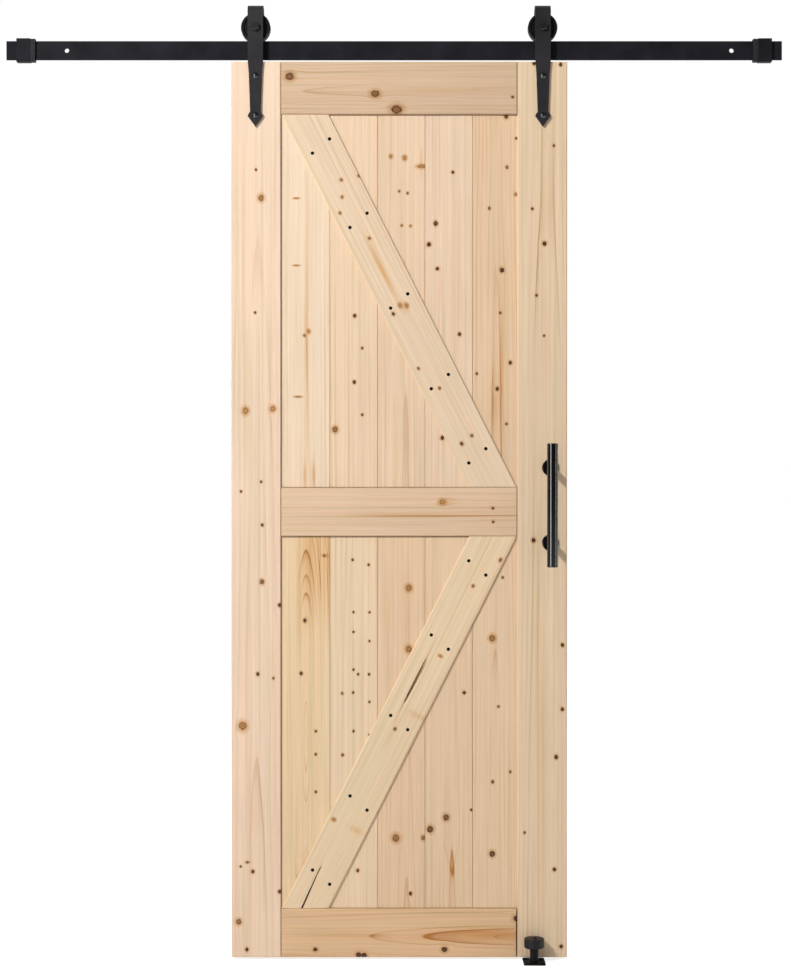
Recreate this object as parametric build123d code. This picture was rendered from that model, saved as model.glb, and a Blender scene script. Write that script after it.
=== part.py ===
"""Sliding barn door: a framed, boarded and braced door that hangs from a flat rail on two strap hangers.

Millimetres. X runs along the rail, Y points to the wall, Z is up. The origin is on the rail's back
face, midway between its two outer wall holes. The door's front faces -Y.
"""

import os
from math import hypot

from build123d import *

# Rail: a flat bar on edge, with four holes for wall bolts
RAIL_LEFT = -937.0
RAIL_RIGHT = 913.0
RAIL_HEIGHT = 45.0
RAIL_THICK = 6.0
RAIL_EDGE = 1.0
OUTER_HOLE_X = 793.0
INNER_HOLE_X = 342.0
WALL_HOLE_R = 5.5

# Door: outside size, and where it hangs
DOOR_WIDTH = 800.0
DOOR_HEIGHT = 2134.0
DOOR_THICK = 35.0
DOOR_DROP = 29.0
STILE_WIDTH = 118.0
TOP_RAIL_WIDTH = 125.0
CROSS_RAIL_WIDTH = 116.0
ARRIS = 1.8
SHOULDER_GAP = 1.2

# Panel boards in the frame's groove
PANEL_SETBACK = 6.0
BOARD_THICK = 12.0
GROOVE_DEPTH = 10.0
REBATE_DEPTH = 4.0
REBATE_GAP = 1.4
GROOVE_PLAY = 0.2
GROOVE_END_PLAY = 1.0
TENON_PLAY = 0.5
FIRST_BOARD_FACE = 117.0
BOARD_PITCH = 113.5
BOARD_COUNT = 5
BOARD_GAP = 0.6
BOARD_VEE = 1.0
TONGUE_THICK = 4.0
TONGUE_LENGTH = 5.0
TONGUE_PLAY = 0.2

# Braces, and the screws that hold them to the boards
BRACE_THICK = 5.6
BRACE_ACROSS = 112.0
BRACE_SIDE_GAP = 2.0
BRACE_END_GAP = 0.5
SCREW_ROWS = (-413.0, -215.0, 0.0, 215.0, 413.0)
SCREW_HALF_SPACING = 25.8
SCREW_STAGGER = 6.0
SCREW_HEAD_R = 4.2
SCREW_SHANK_R = 2.0
SCREW_LENGTH = 16.0
SCREW_TIP = 3.5
SCREW_PLAY = 0.05
RECESS_ARM = 2.6
RECESS_BAR = 0.6
RECESS_DEPTH = 1.6

# Splits in the lower brace, as places on its face
SPLIT_MOUTH = (-234.0, -2050.0)
SPLIT_END = (-189.0, -1950.0)
SPLIT_WIDTH = 5.0
SPLIT_NARROW = 3.4
SPLIT_BEND = 0.7
CHECK_START = (68.5, -1451.6)
CHECK_END = (9.8, -1561.4)
CHECK_WIDTH = 2.6
CHECK_DEPTH = 4.8
CHECK_BENDS = (0.2, 0.7)

# Frame dowels
DOWEL_R = 5.0
DOWEL_LENGTH = 80.0
DOWEL_PLAY = 0.05
DOWEL_SPREAD = 33.0

# Strap hangers and wheels
HANGER_X = 342.0
STRAP_THICK = 6.0
STRAP_WIDTH = 37.0
STRAP_WAIST = 31.0
STRAP_NECK = 25.0
STRAP_TOP = 107.0
WAIST_Z = -60.0
NECK_Z = -148.0
BARB_Z = -158.5
TIP_Z = -184.0
STRAP_EDGE = 0.6
STRAP_BOLT_Z = (-64.0, -158.0)
WHEEL_R = 35.0
TREAD_R = 30.5
WHEEL_WIDTH = 22.0
TREAD_WIDTH = 7.0
WHEEL_LIFT = 0.3
STRAP_TO_WHEEL = 3.0
AXLE_R = 5.0
AXLE_PLAY = 0.1
BEARING_R = 13.0
BEARING_WIDTH = 8.0
BALL_R = 2.38
BALL_PITCH_R = 9.0
BALL_COUNT = 7
BALL_PLAY = 0.05
INNER_RING_R = 7.2
OUTER_RING_BORE_R = 10.8
SHIELD_THICK = 0.6
SHIELD_GAP = 0.3
SPACER_R = 7.0

# Bolts, nuts and washers
HANGER_BOLT_R = 4.0
DOME_R = 8.0
DOME_HEIGHT = 5.0
AXLE_HEX = 17.0
AXLE_HEAD_HEIGHT = 6.0
HEX_EDGE = 1.0
AXLE_WASHER_R = 11.0
NUT_HEX = 13.0
NUT_HEIGHT = 6.5
WASHER_R = 9.0
WASHER_THICK = 1.6
BOLT_TAIL = 2.0

# Pull bar
HANDLE_X = 360.0
HANDLE_BASE_Z = (-995.0, -1173.5)
BAR_R = 12.7
BAR_LENGTH = 291.0
BAR_STANDOFF = 64.0
BAR_EDGE = 1.5
POST_R = 8.0
POST_SINK = 4.0
BASE_R = 20.0
BASE_THICK = 4.0
BASE_EDGE = 1.2
HANDLE_BOLT_R = 3.0
HANDLE_BOLT_REACH = 20.0
HANDLE_HEAD_R = 6.0
HANDLE_HEAD_HEIGHT = 4.0

# Stop collars near the rail's ends
STOP_INSET = 25.0
STOP_WIDTH = 32.0
STOP_HEIGHT = 56.0
STOP_DEPTH = 20.0
STOP_PLAY = 0.2
STOP_EDGE = 1.5
BUMPER_WIDTH = 12.0
BUMPER_SHRINK = 1.0
SET_SCREW_R = 3.0
SET_SCREW_SPREAD = 9.0

# Stay roller on the floor
GUIDE_X = 320.0
FLOOR_GAP = 7.0
ROLLER_R = 23.8
ROLLER_HEIGHT = 22.0
ROLLER_LIFT = 37.0
ROLLER_DOOR_GAP = 1.2
ROLLER_EDGE = 2.0
BUSH_R = 8.0
SHOULDER_R = 6.0
SHOULDER_PLAY = 0.05
GUIDE_POST_R = 10.0
GUIDE_HEAD_R = 9.0
GUIDE_HEAD_HEIGHT = 5.0
GUIDE_AXIAL_PLAY = 0.3
GUIDE_THREAD = 10.0
PLATE_WIDTH = 52.0
PLATE_FRONT = 25.0
PLATE_BACK = 37.0
PLATE_THICK = 4.0
PLATE_HOLE_R = 2.75
PLATE_SINK_R = 5.0
PLATE_HOLE_X = 18.0
PLATE_HOLE_Y = 15.0

# Worked-out places
RAIL_BACK = 0.0
RAIL_FRONT = RAIL_BACK - RAIL_THICK
RAIL_MID = (RAIL_BACK + RAIL_FRONT) / 2
RAIL_TOP = RAIL_HEIGHT / 2
AXLE_Z = RAIL_TOP + WHEEL_LIFT + TREAD_R
STRAP_BACK = RAIL_MID - WHEEL_WIDTH / 2 - STRAP_TO_WHEEL
STRAP_FRONT = STRAP_BACK - STRAP_THICK
LEG_FRONT = RAIL_MID + WHEEL_WIDTH / 2 + STRAP_TO_WHEEL
LEG_BACK = LEG_FRONT + STRAP_THICK
BEND_R = RAIL_MID - STRAP_BACK
BEND_Z = STRAP_TOP - BEND_R - STRAP_THICK
DOOR_FRONT = STRAP_BACK
DOOR_BACK = DOOR_FRONT + DOOR_THICK
DOOR_TOP = -DOOR_DROP
DOOR_BOTTOM = DOOR_TOP - DOOR_HEIGHT
FLOOR = DOOR_BOTTOM - FLOOR_GAP
DOOR_HALF = DOOR_WIDTH / 2
PANEL_HALF = DOOR_HALF - STILE_WIDTH
PANEL_HEIGHT = (DOOR_HEIGHT - TOP_RAIL_WIDTH - 2 * CROSS_RAIL_WIDTH) / 2
TOP_RAIL_Z = DOOR_TOP - TOP_RAIL_WIDTH
MIDDLE_TOP = TOP_RAIL_Z - PANEL_HEIGHT
MIDDLE_BOTTOM = MIDDLE_TOP - CROSS_RAIL_WIDTH
BOTTOM_RAIL_Z = DOOR_BOTTOM + CROSS_RAIL_WIDTH
PANEL_FRONT = DOOR_FRONT + PANEL_SETBACK
PANEL_BACK = PANEL_FRONT + BOARD_THICK
PANEL_MID = (PANEL_FRONT + PANEL_BACK) / 2
BRACE_FRONT = PANEL_FRONT - BRACE_THICK


def block(x0, x1, y0, y1, z0, z1):
    """A box given by its two corners."""
    middle = Pos((x0 + x1) / 2, (y0 + y1) / 2, (z0 + z1) / 2)
    return middle * Box(abs(x1 - x0), abs(y1 - y0), abs(z1 - z0))


def rod(radius, start, end):
    """A round bar between two points on a line along X, Y or Z."""
    a = Vector(*start)
    b = Vector(*end)
    plane = Plane(origin=a, z_dir=b - a)
    return extrude(plane * Circle(radius), (b - a).length)


def through(radius, x, z, y0, y1):
    """A round bar or hole from front to back."""
    return rod(radius, (x, y0, z), (x, y1, z))


def tube(outer, inner, start, end):
    """A plain sleeve or washer."""
    return rod(outer, start, end) - rod(inner, start, end)


def hexagon(across_flats, start, end):
    """A six-sided bar, for bolt heads and nuts."""
    a = Vector(*start)
    b = Vector(*end)
    plane = Plane(origin=a, z_dir=b - a)
    return extrude(plane * RegularPolygon(across_flats / 2, 6, major_radius=False), (b - a).length)


def turned(points, place):
    """A shape turned on a lathe: points are radius and distance along Z, set at a place."""
    face = make_face(Plane.XZ * Polyline(*points, close=True))
    return place * revolve(face, Axis.Z)


def facing_front(x, y, z):
    """A place whose own Z points out of the door's front."""
    return Pos(x, y, z) * Rot(90, 0, 0)


def facing_back(x, y, z):
    """A place whose own Z points to the wall."""
    return Pos(x, y, z) * Rot(-90, 0, 0)


def face_edges(shape, axis, last):
    """The edges of the outermost face across an axis."""
    return shape.faces().sort_by(axis)[-1 if last else 0].edges()


def eased(shape, size):
    """Timber with its front and back arrises taken off."""
    shape = chamfer(face_edges(shape, Axis.Y, False), size)
    return chamfer(face_edges(shape, Axis.Y, True), size)


def save(name, *solids):
    """Write one node, of one solid or a group of separate solids."""
    whole = solids[0] if len(solids) == 1 else Compound(children=list(solids))
    export_step(whole, f"parts/{name}.step")
    print(name, len(solids), round(sum(s.volume for s in solids)))


def both_sides(make):
    """The same piece made for the left and the right."""
    return make(-1), make(1)


# Rail
def rail():
    bar = block(RAIL_LEFT, RAIL_RIGHT, RAIL_FRONT, RAIL_BACK, -RAIL_TOP, RAIL_TOP)
    bar = fillet(bar.edges().filter_by(Axis.X), RAIL_EDGE)
    for x in (-OUTER_HOLE_X, -INNER_HOLE_X, INNER_HOLE_X, OUTER_HOLE_X):
        bar -= through(WALL_HOLE_R, x, 0, RAIL_FRONT, RAIL_BACK)
    return bar


# Stop collars, with their bumpers towards the wheels
def stop_outer(side):
    return RAIL_LEFT + STOP_INSET if side < 0 else RAIL_RIGHT - STOP_INSET


def collar(x0, x1, height, depth, edge):
    """A block round the rail, with rounded long edges."""
    ring = block(x0, x1, RAIL_MID - depth / 2, RAIL_MID + depth / 2, -height / 2, height / 2)
    ring = fillet(ring.edges().filter_by(Axis.X), edge)
    return ring - block(
        x0, x1, RAIL_FRONT - STOP_PLAY, RAIL_BACK + STOP_PLAY, -RAIL_TOP - STOP_PLAY, RAIL_TOP + STOP_PLAY
    )


def set_screw_places(side):
    middle = stop_outer(side) - side * STOP_WIDTH / 2
    return [(middle, z) for z in (-SET_SCREW_SPREAD, SET_SCREW_SPREAD)]


def stop(side):
    outer = stop_outer(side)
    body = collar(outer, outer - side * STOP_WIDTH, STOP_HEIGHT, STOP_DEPTH, STOP_EDGE)
    for x, z in set_screw_places(side):
        body -= through(SET_SCREW_R, x, z, RAIL_BACK, RAIL_MID + STOP_DEPTH / 2)
    return body


def bumper(side):
    inner = stop_outer(side) - side * STOP_WIDTH
    size = (STOP_HEIGHT - 2 * BUMPER_SHRINK, STOP_DEPTH - 2 * BUMPER_SHRINK)
    return collar(inner, inner - side * BUMPER_WIDTH, *size, STOP_EDGE)


def set_screw(x, z):
    """A headless screw that presses on the rail's back, with a six-sided socket."""
    mouth = RAIL_MID + STOP_DEPTH / 2
    body = through(SET_SCREW_R, x, z, RAIL_BACK, mouth)
    return body - hexagon(SET_SCREW_R, (x, mouth - SET_SCREW_R, z), (x, mouth, z))


# Door frame: two stiles and three rails
def groove_cut(x0, x1, z0, z1):
    return block(x0, x1, PANEL_FRONT - GROOVE_PLAY, PANEL_BACK + GROOVE_PLAY, z0, z1)


def dowel_places():
    """Height of every dowel: two to each end of each rail."""
    middles = (
        (DOOR_TOP + TOP_RAIL_Z) / 2,
        (MIDDLE_TOP + MIDDLE_BOTTOM) / 2,
        (DOOR_BOTTOM + BOTTOM_RAIL_Z) / 2,
    )
    return [middle + way * DOWEL_SPREAD for middle in middles for way in (-1, 1)]


def dowel(side, z, play=0.0, end_play=0.0):
    inner = side * (PANEL_HALF - DOWEL_LENGTH / 2 - end_play)
    outer = side * (PANEL_HALF + DOWEL_LENGTH / 2 + end_play)
    return rod(DOWEL_R + play, (inner, PANEL_MID, z), (outer, PANEL_MID, z))


def dowelled(timber):
    for side in (-1, 1):
        for z in dowel_places():
            timber -= dowel(side, z, DOWEL_PLAY, TENON_PLAY)
    return timber


def stile(side):
    inner = side * PANEL_HALF
    timber = eased(block(inner, side * DOOR_HALF, DOOR_FRONT, DOOR_BACK, DOOR_BOTTOM, DOOR_TOP), ARRIS)
    timber -= groove_cut(inner, inner + side * GROOVE_DEPTH, DOOR_BOTTOM, DOOR_TOP)
    for z in STRAP_BOLT_Z:
        timber -= through(HANGER_BOLT_R + AXLE_PLAY, side * HANGER_X, z, DOOR_FRONT, DOOR_BACK)
    if side > 0:
        for z in HANDLE_BASE_Z:
            timber -= through(HANDLE_BOLT_R + AXLE_PLAY, HANDLE_X, z, DOOR_FRONT, DOOR_BACK)
    return dowelled(timber)


def cross_rail(top, bottom, groove_above, groove_below):
    """A frame rail with a stub tenon at each end and a groove on each edge that holds boards."""
    shoulder = PANEL_HALF - SHOULDER_GAP
    timber = eased(block(-shoulder, shoulder, DOOR_FRONT, DOOR_BACK, bottom, top), ARRIS)
    reach = PANEL_HALF + GROOVE_DEPTH - TENON_PLAY
    timber += block(-reach, reach, PANEL_FRONT, PANEL_BACK, bottom, top)
    if groove_above:
        timber -= groove_cut(-reach, reach, top - GROOVE_DEPTH, top)
    if groove_below:
        timber -= groove_cut(-reach, reach, bottom, bottom + GROOVE_DEPTH)
    return dowelled(timber)


# Panel boards, tongued and grooved
def board_seams():
    return [-PANEL_HALF + FIRST_BOARD_FACE + BOARD_PITCH * n for n in range(BOARD_COUNT - 1)]


def board(number, top, bottom):
    """One board: its section, drawn across X and Y, carried along Z into the rails' grooves.

    It is rebated where it enters them, which leaves a fine dark gap along the frame.
    """
    reach = PANEL_HALF + GROOVE_DEPTH - GROOVE_END_PLAY
    edges = [-reach, *board_seams(), reach]
    first = number == 0
    last = number == BOARD_COUNT - 1
    left = edges[number] + (0 if first else BOARD_GAP / 2)
    right = edges[number + 1] - (0 if last else BOARD_GAP / 2)
    half_tongue = TONGUE_THICK / 2
    half_slot = half_tongue + TONGUE_PLAY
    slot = left + TONGUE_LENGTH + TONGUE_PLAY
    outline = [(right, PANEL_BACK), (left, PANEL_BACK)]
    if not first:
        outline += [(left, PANEL_MID + half_slot), (slot, PANEL_MID + half_slot)]
        outline += [(slot, PANEL_MID - half_slot), (left, PANEL_MID - half_slot)]
        outline += [(left, PANEL_FRONT + BOARD_VEE), (left + BOARD_VEE, PANEL_FRONT)]
    else:
        rebate = -PANEL_HALF + REBATE_GAP
        outline += [(left, PANEL_FRONT + REBATE_DEPTH), (rebate, PANEL_FRONT + REBATE_DEPTH)]
        outline += [(rebate, PANEL_FRONT)]
    if not last:
        outline += [(right - BOARD_VEE, PANEL_FRONT), (right, PANEL_FRONT + BOARD_VEE)]
        outline += [(right, PANEL_MID - half_tongue), (right + TONGUE_LENGTH, PANEL_MID - half_tongue)]
        outline += [(right + TONGUE_LENGTH, PANEL_MID + half_tongue), (right, PANEL_MID + half_tongue)]
    else:
        outline += [(right, PANEL_FRONT)]
    low = bottom - GROOVE_DEPTH + GROOVE_END_PLAY
    high = top + GROOVE_DEPTH - GROOVE_END_PLAY
    section = make_face(Plane.XY.offset(low) * Polyline(*outline, close=True))
    plank = extrude(section, high - low, dir=(0, 0, 1))
    for end, gap_edge in ((low, bottom + REBATE_GAP), (high, top - REBATE_GAP)):
        plank -= block(-reach, reach, PANEL_FRONT, PANEL_FRONT + REBATE_DEPTH, end, gap_edge)
    return plank


def drilled_boards(top, bottom, drill):
    """The five boards of one panel, bored for the brace screws that meet them."""
    boards = []
    for number in range(BOARD_COUNT):
        plank = board(number, top, bottom)
        box = plank.bounding_box()
        for hole in drill:
            reach = hole.bounding_box()
            if reach.max.X > box.min.X and reach.min.X < box.max.X:
                plank -= hole
        boards.append(plank)
    return boards


# Braces: one runs down to the right, the other is its mirror below the middle rail
def brace_line(top, bottom):
    """Height of the brace's middle, and how far it runs sideways and down between its level end cuts."""
    run = 2 * (PANEL_HALF - BRACE_SIDE_GAP) - BRACE_ACROSS
    rise = top - bottom - 2 * BRACE_END_GAP
    return (top + bottom) / 2, run, rise


def screw_places(top, bottom, way):
    """The screws' places on a brace: pairs across it, in rows along it."""
    middle, run, rise = brace_line(top, bottom)
    length = hypot(run, rise)
    along = (run / length, -rise / length)
    across = (rise / length, run / length)
    places = []
    for row in SCREW_ROWS:
        for half in (-1, 1):
            s = row - half * SCREW_STAGGER
            t = half * SCREW_HALF_SPACING
            x = along[0] * s + across[0] * t
            z = along[1] * s + across[1] * t
            places.append((x, middle + way * z))
    return places


def screw_shape(place, play):
    """A countersunk screw that lies flush, grown by its play where it stands for its own hole."""
    head = SCREW_HEAD_R + play
    shank = SCREW_SHANK_R + play
    cone = head - shank
    length = SCREW_LENGTH + play
    points = [(0, 0), (head, 0), (shank, -cone), (shank, -length + SCREW_TIP), (0, -length)]
    return turned(points, place)


def brace_screw(x, z):
    screw = screw_shape(facing_front(x, BRACE_FRONT, z), 0)
    for wide, tall in ((RECESS_ARM, RECESS_BAR), (RECESS_BAR, RECESS_ARM)):
        screw -= block(x - wide, x + wide, BRACE_FRONT, BRACE_FRONT + RECESS_DEPTH, z - tall, z + tall)
    return screw


def screw_hole(x, z):
    return screw_shape(facing_front(x, BRACE_FRONT, z), SCREW_PLAY)


def on_face(points, y, depth):
    """A flat shape drawn on a face that looks to the front, carried back by its depth."""
    face = make_face(Polyline(*[(x, y, z) for x, z in points], close=True))
    return extrude(face, depth, dir=(0, 1, 0))


def brace(top, bottom, way, holes):
    middle, run, rise = brace_line(top, bottom)
    half = BRACE_ACROSS / 2
    corners = [
        (-run / 2 - half, rise / 2),
        (-run / 2 + half, rise / 2),
        (run / 2 + half, -rise / 2),
        (run / 2 - half, -rise / 2),
    ]
    timber = on_face([(x, middle + way * z) for x, z in corners], BRACE_FRONT, BRACE_THICK)
    timber = chamfer(face_edges(timber, Axis.Y, False), ARRIS)
    for hole in holes:
        timber -= hole
    return timber


def split_cut():
    """The open split at the lower brace's foot: it runs up the grain, narrows and closes."""
    (x0, z0), (x1, z1) = SPLIT_MOUTH, SPLIT_END
    half = SPLIT_WIDTH / 2
    narrow = SPLIT_NARROW / 2
    bend_x = x0 + (x1 - x0) * SPLIT_BEND
    bend_z = z0 + (z1 - z0) * SPLIT_BEND
    left = [(x0 - half, z0), (bend_x - narrow, bend_z)]
    right = [(bend_x + narrow, bend_z), (x0 + half, z0)]
    return on_face([*left, SPLIT_END, *right], BRACE_FRONT, BRACE_THICK)


def check_cut():
    """A drying check in the lower brace: a narrow slit that closes at both ends."""
    (x0, z0), (x1, z1) = CHECK_START, CHECK_END
    length = hypot(x1 - x0, z1 - z0)
    side = ((z1 - z0) / length * CHECK_WIDTH / 2, -(x1 - x0) / length * CHECK_WIDTH / 2)
    bends = [(x0 + (x1 - x0) * t, z0 + (z1 - z0) * t) for t in CHECK_BENDS]
    near = [(x + side[0], z + side[1]) for x, z in bends]
    far = [(x - side[0], z - side[1]) for x, z in reversed(bends)]
    return on_face([CHECK_START, *near, CHECK_END, *far], BRACE_FRONT, CHECK_DEPTH)


# Strap hangers: a flat leg down the door, a bend over the wheel, a short leg behind it
def hanger(side):
    x = side * HANGER_X
    half = STRAP_WIDTH / 2
    waist = STRAP_WAIST / 2
    neck = STRAP_NECK / 2
    right = [(half, BEND_Z), (half, -RAIL_TOP), (waist, WAIST_Z), (neck, NECK_Z), (half, BARB_Z)]
    left = [(-w, z) for w, z in reversed(right)]
    outline = [(x + w, z) for w, z in [*right, (0, TIP_Z), *left]]
    strap = on_face(outline, STRAP_FRONT, STRAP_THICK)
    below_bend = face_edges(strap, Axis.Y, False).sort_by(Axis.Z)[:-1]
    strap = chamfer(below_bend, STRAP_EDGE)
    over = Plane(origin=(x - half, RAIL_MID, BEND_Z), x_dir=(0, 1, 0), z_dir=(1, 0, 0))
    ring = extrude(over * (Circle(BEND_R + STRAP_THICK) - Circle(BEND_R)), STRAP_WIDTH)
    top_half = block(x - half, x + half, STRAP_FRONT, LEG_BACK, BEND_Z, STRAP_TOP)
    leg = block(x - half, x + half, LEG_FRONT, LEG_BACK, AXLE_Z, BEND_Z)
    leg += through(half, x, AXLE_Z, LEG_FRONT, LEG_BACK)
    strap = strap + (ring & top_half) + leg
    strap -= through(AXLE_R + AXLE_PLAY, x, AXLE_Z, STRAP_FRONT, LEG_BACK)
    for z in STRAP_BOLT_Z:
        strap -= through(HANGER_BOLT_R + AXLE_PLAY, x, z, STRAP_FRONT, STRAP_BACK)
    return strap


def domed_bolt(radius, dome_r, dome_height, place, length):
    """A bolt with a low domed head: its own Z points out of the head, from the head's seat."""
    sphere_r = (dome_r**2 + dome_height**2) / (2 * dome_height)
    sphere = Pos(0, 0, dome_height - sphere_r) * Sphere(sphere_r)
    cap = sphere & block(-dome_r, dome_r, -dome_r, dome_r, 0, dome_height)
    return place * (cap + rod(radius, (0, 0, -length), (0, 0, 0)))


def hanger_bolt(side, z):
    length = STRAP_THICK + DOOR_THICK + WASHER_THICK + NUT_HEIGHT + BOLT_TAIL
    place = facing_front(side * HANGER_X, STRAP_FRONT, z)
    return domed_bolt(HANGER_BOLT_R, DOME_R, DOME_HEIGHT, place, length)


def back_washer(x, z, bolt_r):
    return tube(WASHER_R, bolt_r + AXLE_PLAY, (x, DOOR_BACK, z), (x, DOOR_BACK + WASHER_THICK, z))


def hanger_nut(side, z):
    x = side * HANGER_X
    start = DOOR_BACK + WASHER_THICK
    nut = hexagon(NUT_HEX, (x, start, z), (x, start + NUT_HEIGHT, z))
    return nut - through(HANGER_BOLT_R + SCREW_PLAY, x, z, start, start + NUT_HEIGHT)


def axle_bolt(side):
    x = side * HANGER_X
    seat = STRAP_FRONT - WASHER_THICK
    end = LEG_BACK + NUT_HEIGHT + BOLT_TAIL
    head = hexagon(AXLE_HEX, (x, seat, AXLE_Z), (x, seat - AXLE_HEAD_HEIGHT, AXLE_Z))
    head = chamfer(face_edges(head, Axis.Y, False), HEX_EDGE)
    return head + through(AXLE_R, x, AXLE_Z, seat, end)


def axle_washer(side):
    x = side * HANGER_X
    start = (x, STRAP_FRONT - WASHER_THICK, AXLE_Z)
    return tube(AXLE_WASHER_R, AXLE_R + AXLE_PLAY, start, (x, STRAP_FRONT, AXLE_Z))


def axle_nut(side):
    x = side * HANGER_X
    nut = hexagon(AXLE_HEX, (x, LEG_BACK, AXLE_Z), (x, LEG_BACK + NUT_HEIGHT, AXLE_Z))
    return nut - through(AXLE_R + SCREW_PLAY, x, AXLE_Z, LEG_BACK, LEG_BACK + NUT_HEIGHT)


def axle_spacers(side):
    """Two sleeves that hold the bearing's inner ring midway between the strap's legs."""
    x = side * HANGER_X
    near = RAIL_MID - BEARING_WIDTH / 2
    far = RAIL_MID + BEARING_WIDTH / 2
    spans = ((STRAP_BACK, near), (far, LEG_FRONT))
    return [tube(SPACER_R, AXLE_R + AXLE_PLAY, (x, a, AXLE_Z), (x, b, AXLE_Z)) for a, b in spans]


# Wheels and their bearings
def axle_place(side):
    return facing_front(side * HANGER_X, RAIL_MID, AXLE_Z)


def wheel(side):
    """A grooved wheel, turned: two flanges, a tread between them, dished faces and a bearing seat."""
    half = WHEEL_WIDTH / 2
    tread = TREAD_WIDTH / 2
    flange_slope = 1.0
    rim_round = 1.5
    dish = 2.5
    dish_outer = 28.5
    dish_inner = 17.5
    seat = BEARING_WIDTH / 2
    lip = 10.0
    points = [
        (BEARING_R, half),
        (dish_inner, half),
        (dish_inner + dish, half - dish),
        (dish_outer - dish, half - dish),
        (dish_outer, half),
        (WHEEL_R - rim_round, half),
        (WHEEL_R, half - rim_round),
        (WHEEL_R, tread + flange_slope),
        (TREAD_R, tread),
        (TREAD_R, -tread),
        (WHEEL_R, -tread - flange_slope),
        (WHEEL_R, rim_round - half),
        (WHEEL_R - rim_round, -half),
        (dish_outer, -half),
        (dish_outer - dish, dish - half),
        (dish_inner + dish, dish - half),
        (dish_inner, -half),
        (lip, -half),
        (lip, -seat),
        (BEARING_R, -seat),
    ]
    return turned(points, axle_place(side))


def ball_race():
    """The round track of the balls, with their running play."""
    track = Plane.XZ * Pos(BALL_PITCH_R, 0) * Circle(BALL_R + BALL_PLAY)
    return revolve(track, Axis.Z)


def bearing_outer_ring(side):
    """Outer ring with its two shields, which stop short of the inner ring."""
    half = BEARING_WIDTH / 2
    shield_bore = INNER_RING_R + SHIELD_GAP
    points = [
        (BEARING_R, half),
        (shield_bore, half),
        (shield_bore, half - SHIELD_THICK),
        (OUTER_RING_BORE_R, half - SHIELD_THICK),
        (OUTER_RING_BORE_R, SHIELD_THICK - half),
        (shield_bore, SHIELD_THICK - half),
        (shield_bore, -half),
        (BEARING_R, -half),
    ]
    return axle_place(side) * (turned(points, Pos(0, 0, 0)) - ball_race())


def bearing_inner_ring(side):
    half = BEARING_WIDTH / 2
    ring = tube(INNER_RING_R, AXLE_R + AXLE_PLAY, (0, 0, -half), (0, 0, half))
    return axle_place(side) * (ring - ball_race())


def bearing_balls(side):
    balls = PolarLocations(BALL_PITCH_R, BALL_COUNT)
    return [axle_place(side) * (place * Sphere(BALL_R)) for place in balls]


# Pull bar on its two posts
def bar_y():
    return DOOR_FRONT - BAR_STANDOFF


def post_end():
    return bar_y() + BAR_R - POST_SINK


def handle_bar():
    middle = sum(HANDLE_BASE_Z) / 2
    low = middle - BAR_LENGTH / 2
    bar = rod(BAR_R, (HANDLE_X, bar_y(), low), (HANDLE_X, bar_y(), low + BAR_LENGTH))
    bar = fillet(bar.edges().filter_by(GeomType.CIRCLE), BAR_EDGE)
    for z in HANDLE_BASE_Z:
        bar -= through(POST_R, HANDLE_X, z, post_end(), DOOR_FRONT)
    return bar


def handle_post(z):
    """A post with a threaded hole in its foot for the bolt from the back."""
    foot = DOOR_FRONT - BASE_THICK
    post = through(POST_R, HANDLE_X, z, post_end(), foot)
    return post - through(HANDLE_BOLT_R + SCREW_PLAY, HANDLE_X, z, foot - HANDLE_BOLT_REACH, foot)


def handle_base(z):
    """The round plate between a post and the door's face."""
    face = DOOR_FRONT - BASE_THICK
    plate = through(BASE_R, HANDLE_X, z, DOOR_FRONT, face)
    plate = fillet(face_edges(plate, Axis.Y, False), BASE_EDGE)
    return plate - through(HANDLE_BOLT_R + AXLE_PLAY, HANDLE_X, z, DOOR_FRONT, face)


def handle_bolt(z):
    seat = DOOR_BACK + WASHER_THICK
    length = DOOR_THICK + WASHER_THICK + BASE_THICK + HANDLE_BOLT_REACH - BOLT_TAIL
    place = facing_back(HANDLE_X, seat, z)
    return domed_bolt(HANDLE_BOLT_R, HANDLE_HEAD_R, HANDLE_HEAD_HEIGHT, place, length)


# Stay roller that keeps the door's foot from swinging out
def guide_y():
    return DOOR_FRONT - ROLLER_DOOR_GAP - ROLLER_R


def roller_low():
    return FLOOR + ROLLER_LIFT


def guide_plate():
    left = GUIDE_X - PLATE_WIDTH / 2
    right = GUIDE_X + PLATE_WIDTH / 2
    plate = block(left, right, guide_y() - PLATE_FRONT, guide_y() + PLATE_BACK, FLOOR, FLOOR + PLATE_THICK)
    plate = fillet(plate.edges().filter_by(Axis.Z), PLATE_SINK_R)
    plate = chamfer(face_edges(plate, Axis.Z, True), STRAP_EDGE)
    top = FLOOR + PLATE_THICK
    sink = PLATE_SINK_R - PLATE_HOLE_R
    cone = [(0, 0), (PLATE_SINK_R, 0), (PLATE_HOLE_R, -sink)]
    cutter = [*cone, (PLATE_HOLE_R, -PLATE_THICK), (0, -PLATE_THICK)]
    for x in (-PLATE_HOLE_X, PLATE_HOLE_X):
        for y in (-PLATE_HOLE_Y, PLATE_HOLE_Y):
            plate -= turned(cutter, Pos(GUIDE_X + x, guide_y() + y, top))
    return plate


def guide_post():
    """The post, with a threaded hole in its top for the roller's bolt."""
    foot = FLOOR + PLATE_THICK
    top = roller_low() - GUIDE_AXIAL_PLAY
    post = rod(GUIDE_POST_R, (GUIDE_X, guide_y(), foot), (GUIDE_X, guide_y(), top))
    deep = top - GUIDE_THREAD - BOLT_TAIL
    return post - rod(AXLE_R + SCREW_PLAY, (GUIDE_X, guide_y(), deep), (GUIDE_X, guide_y(), top))


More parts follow.
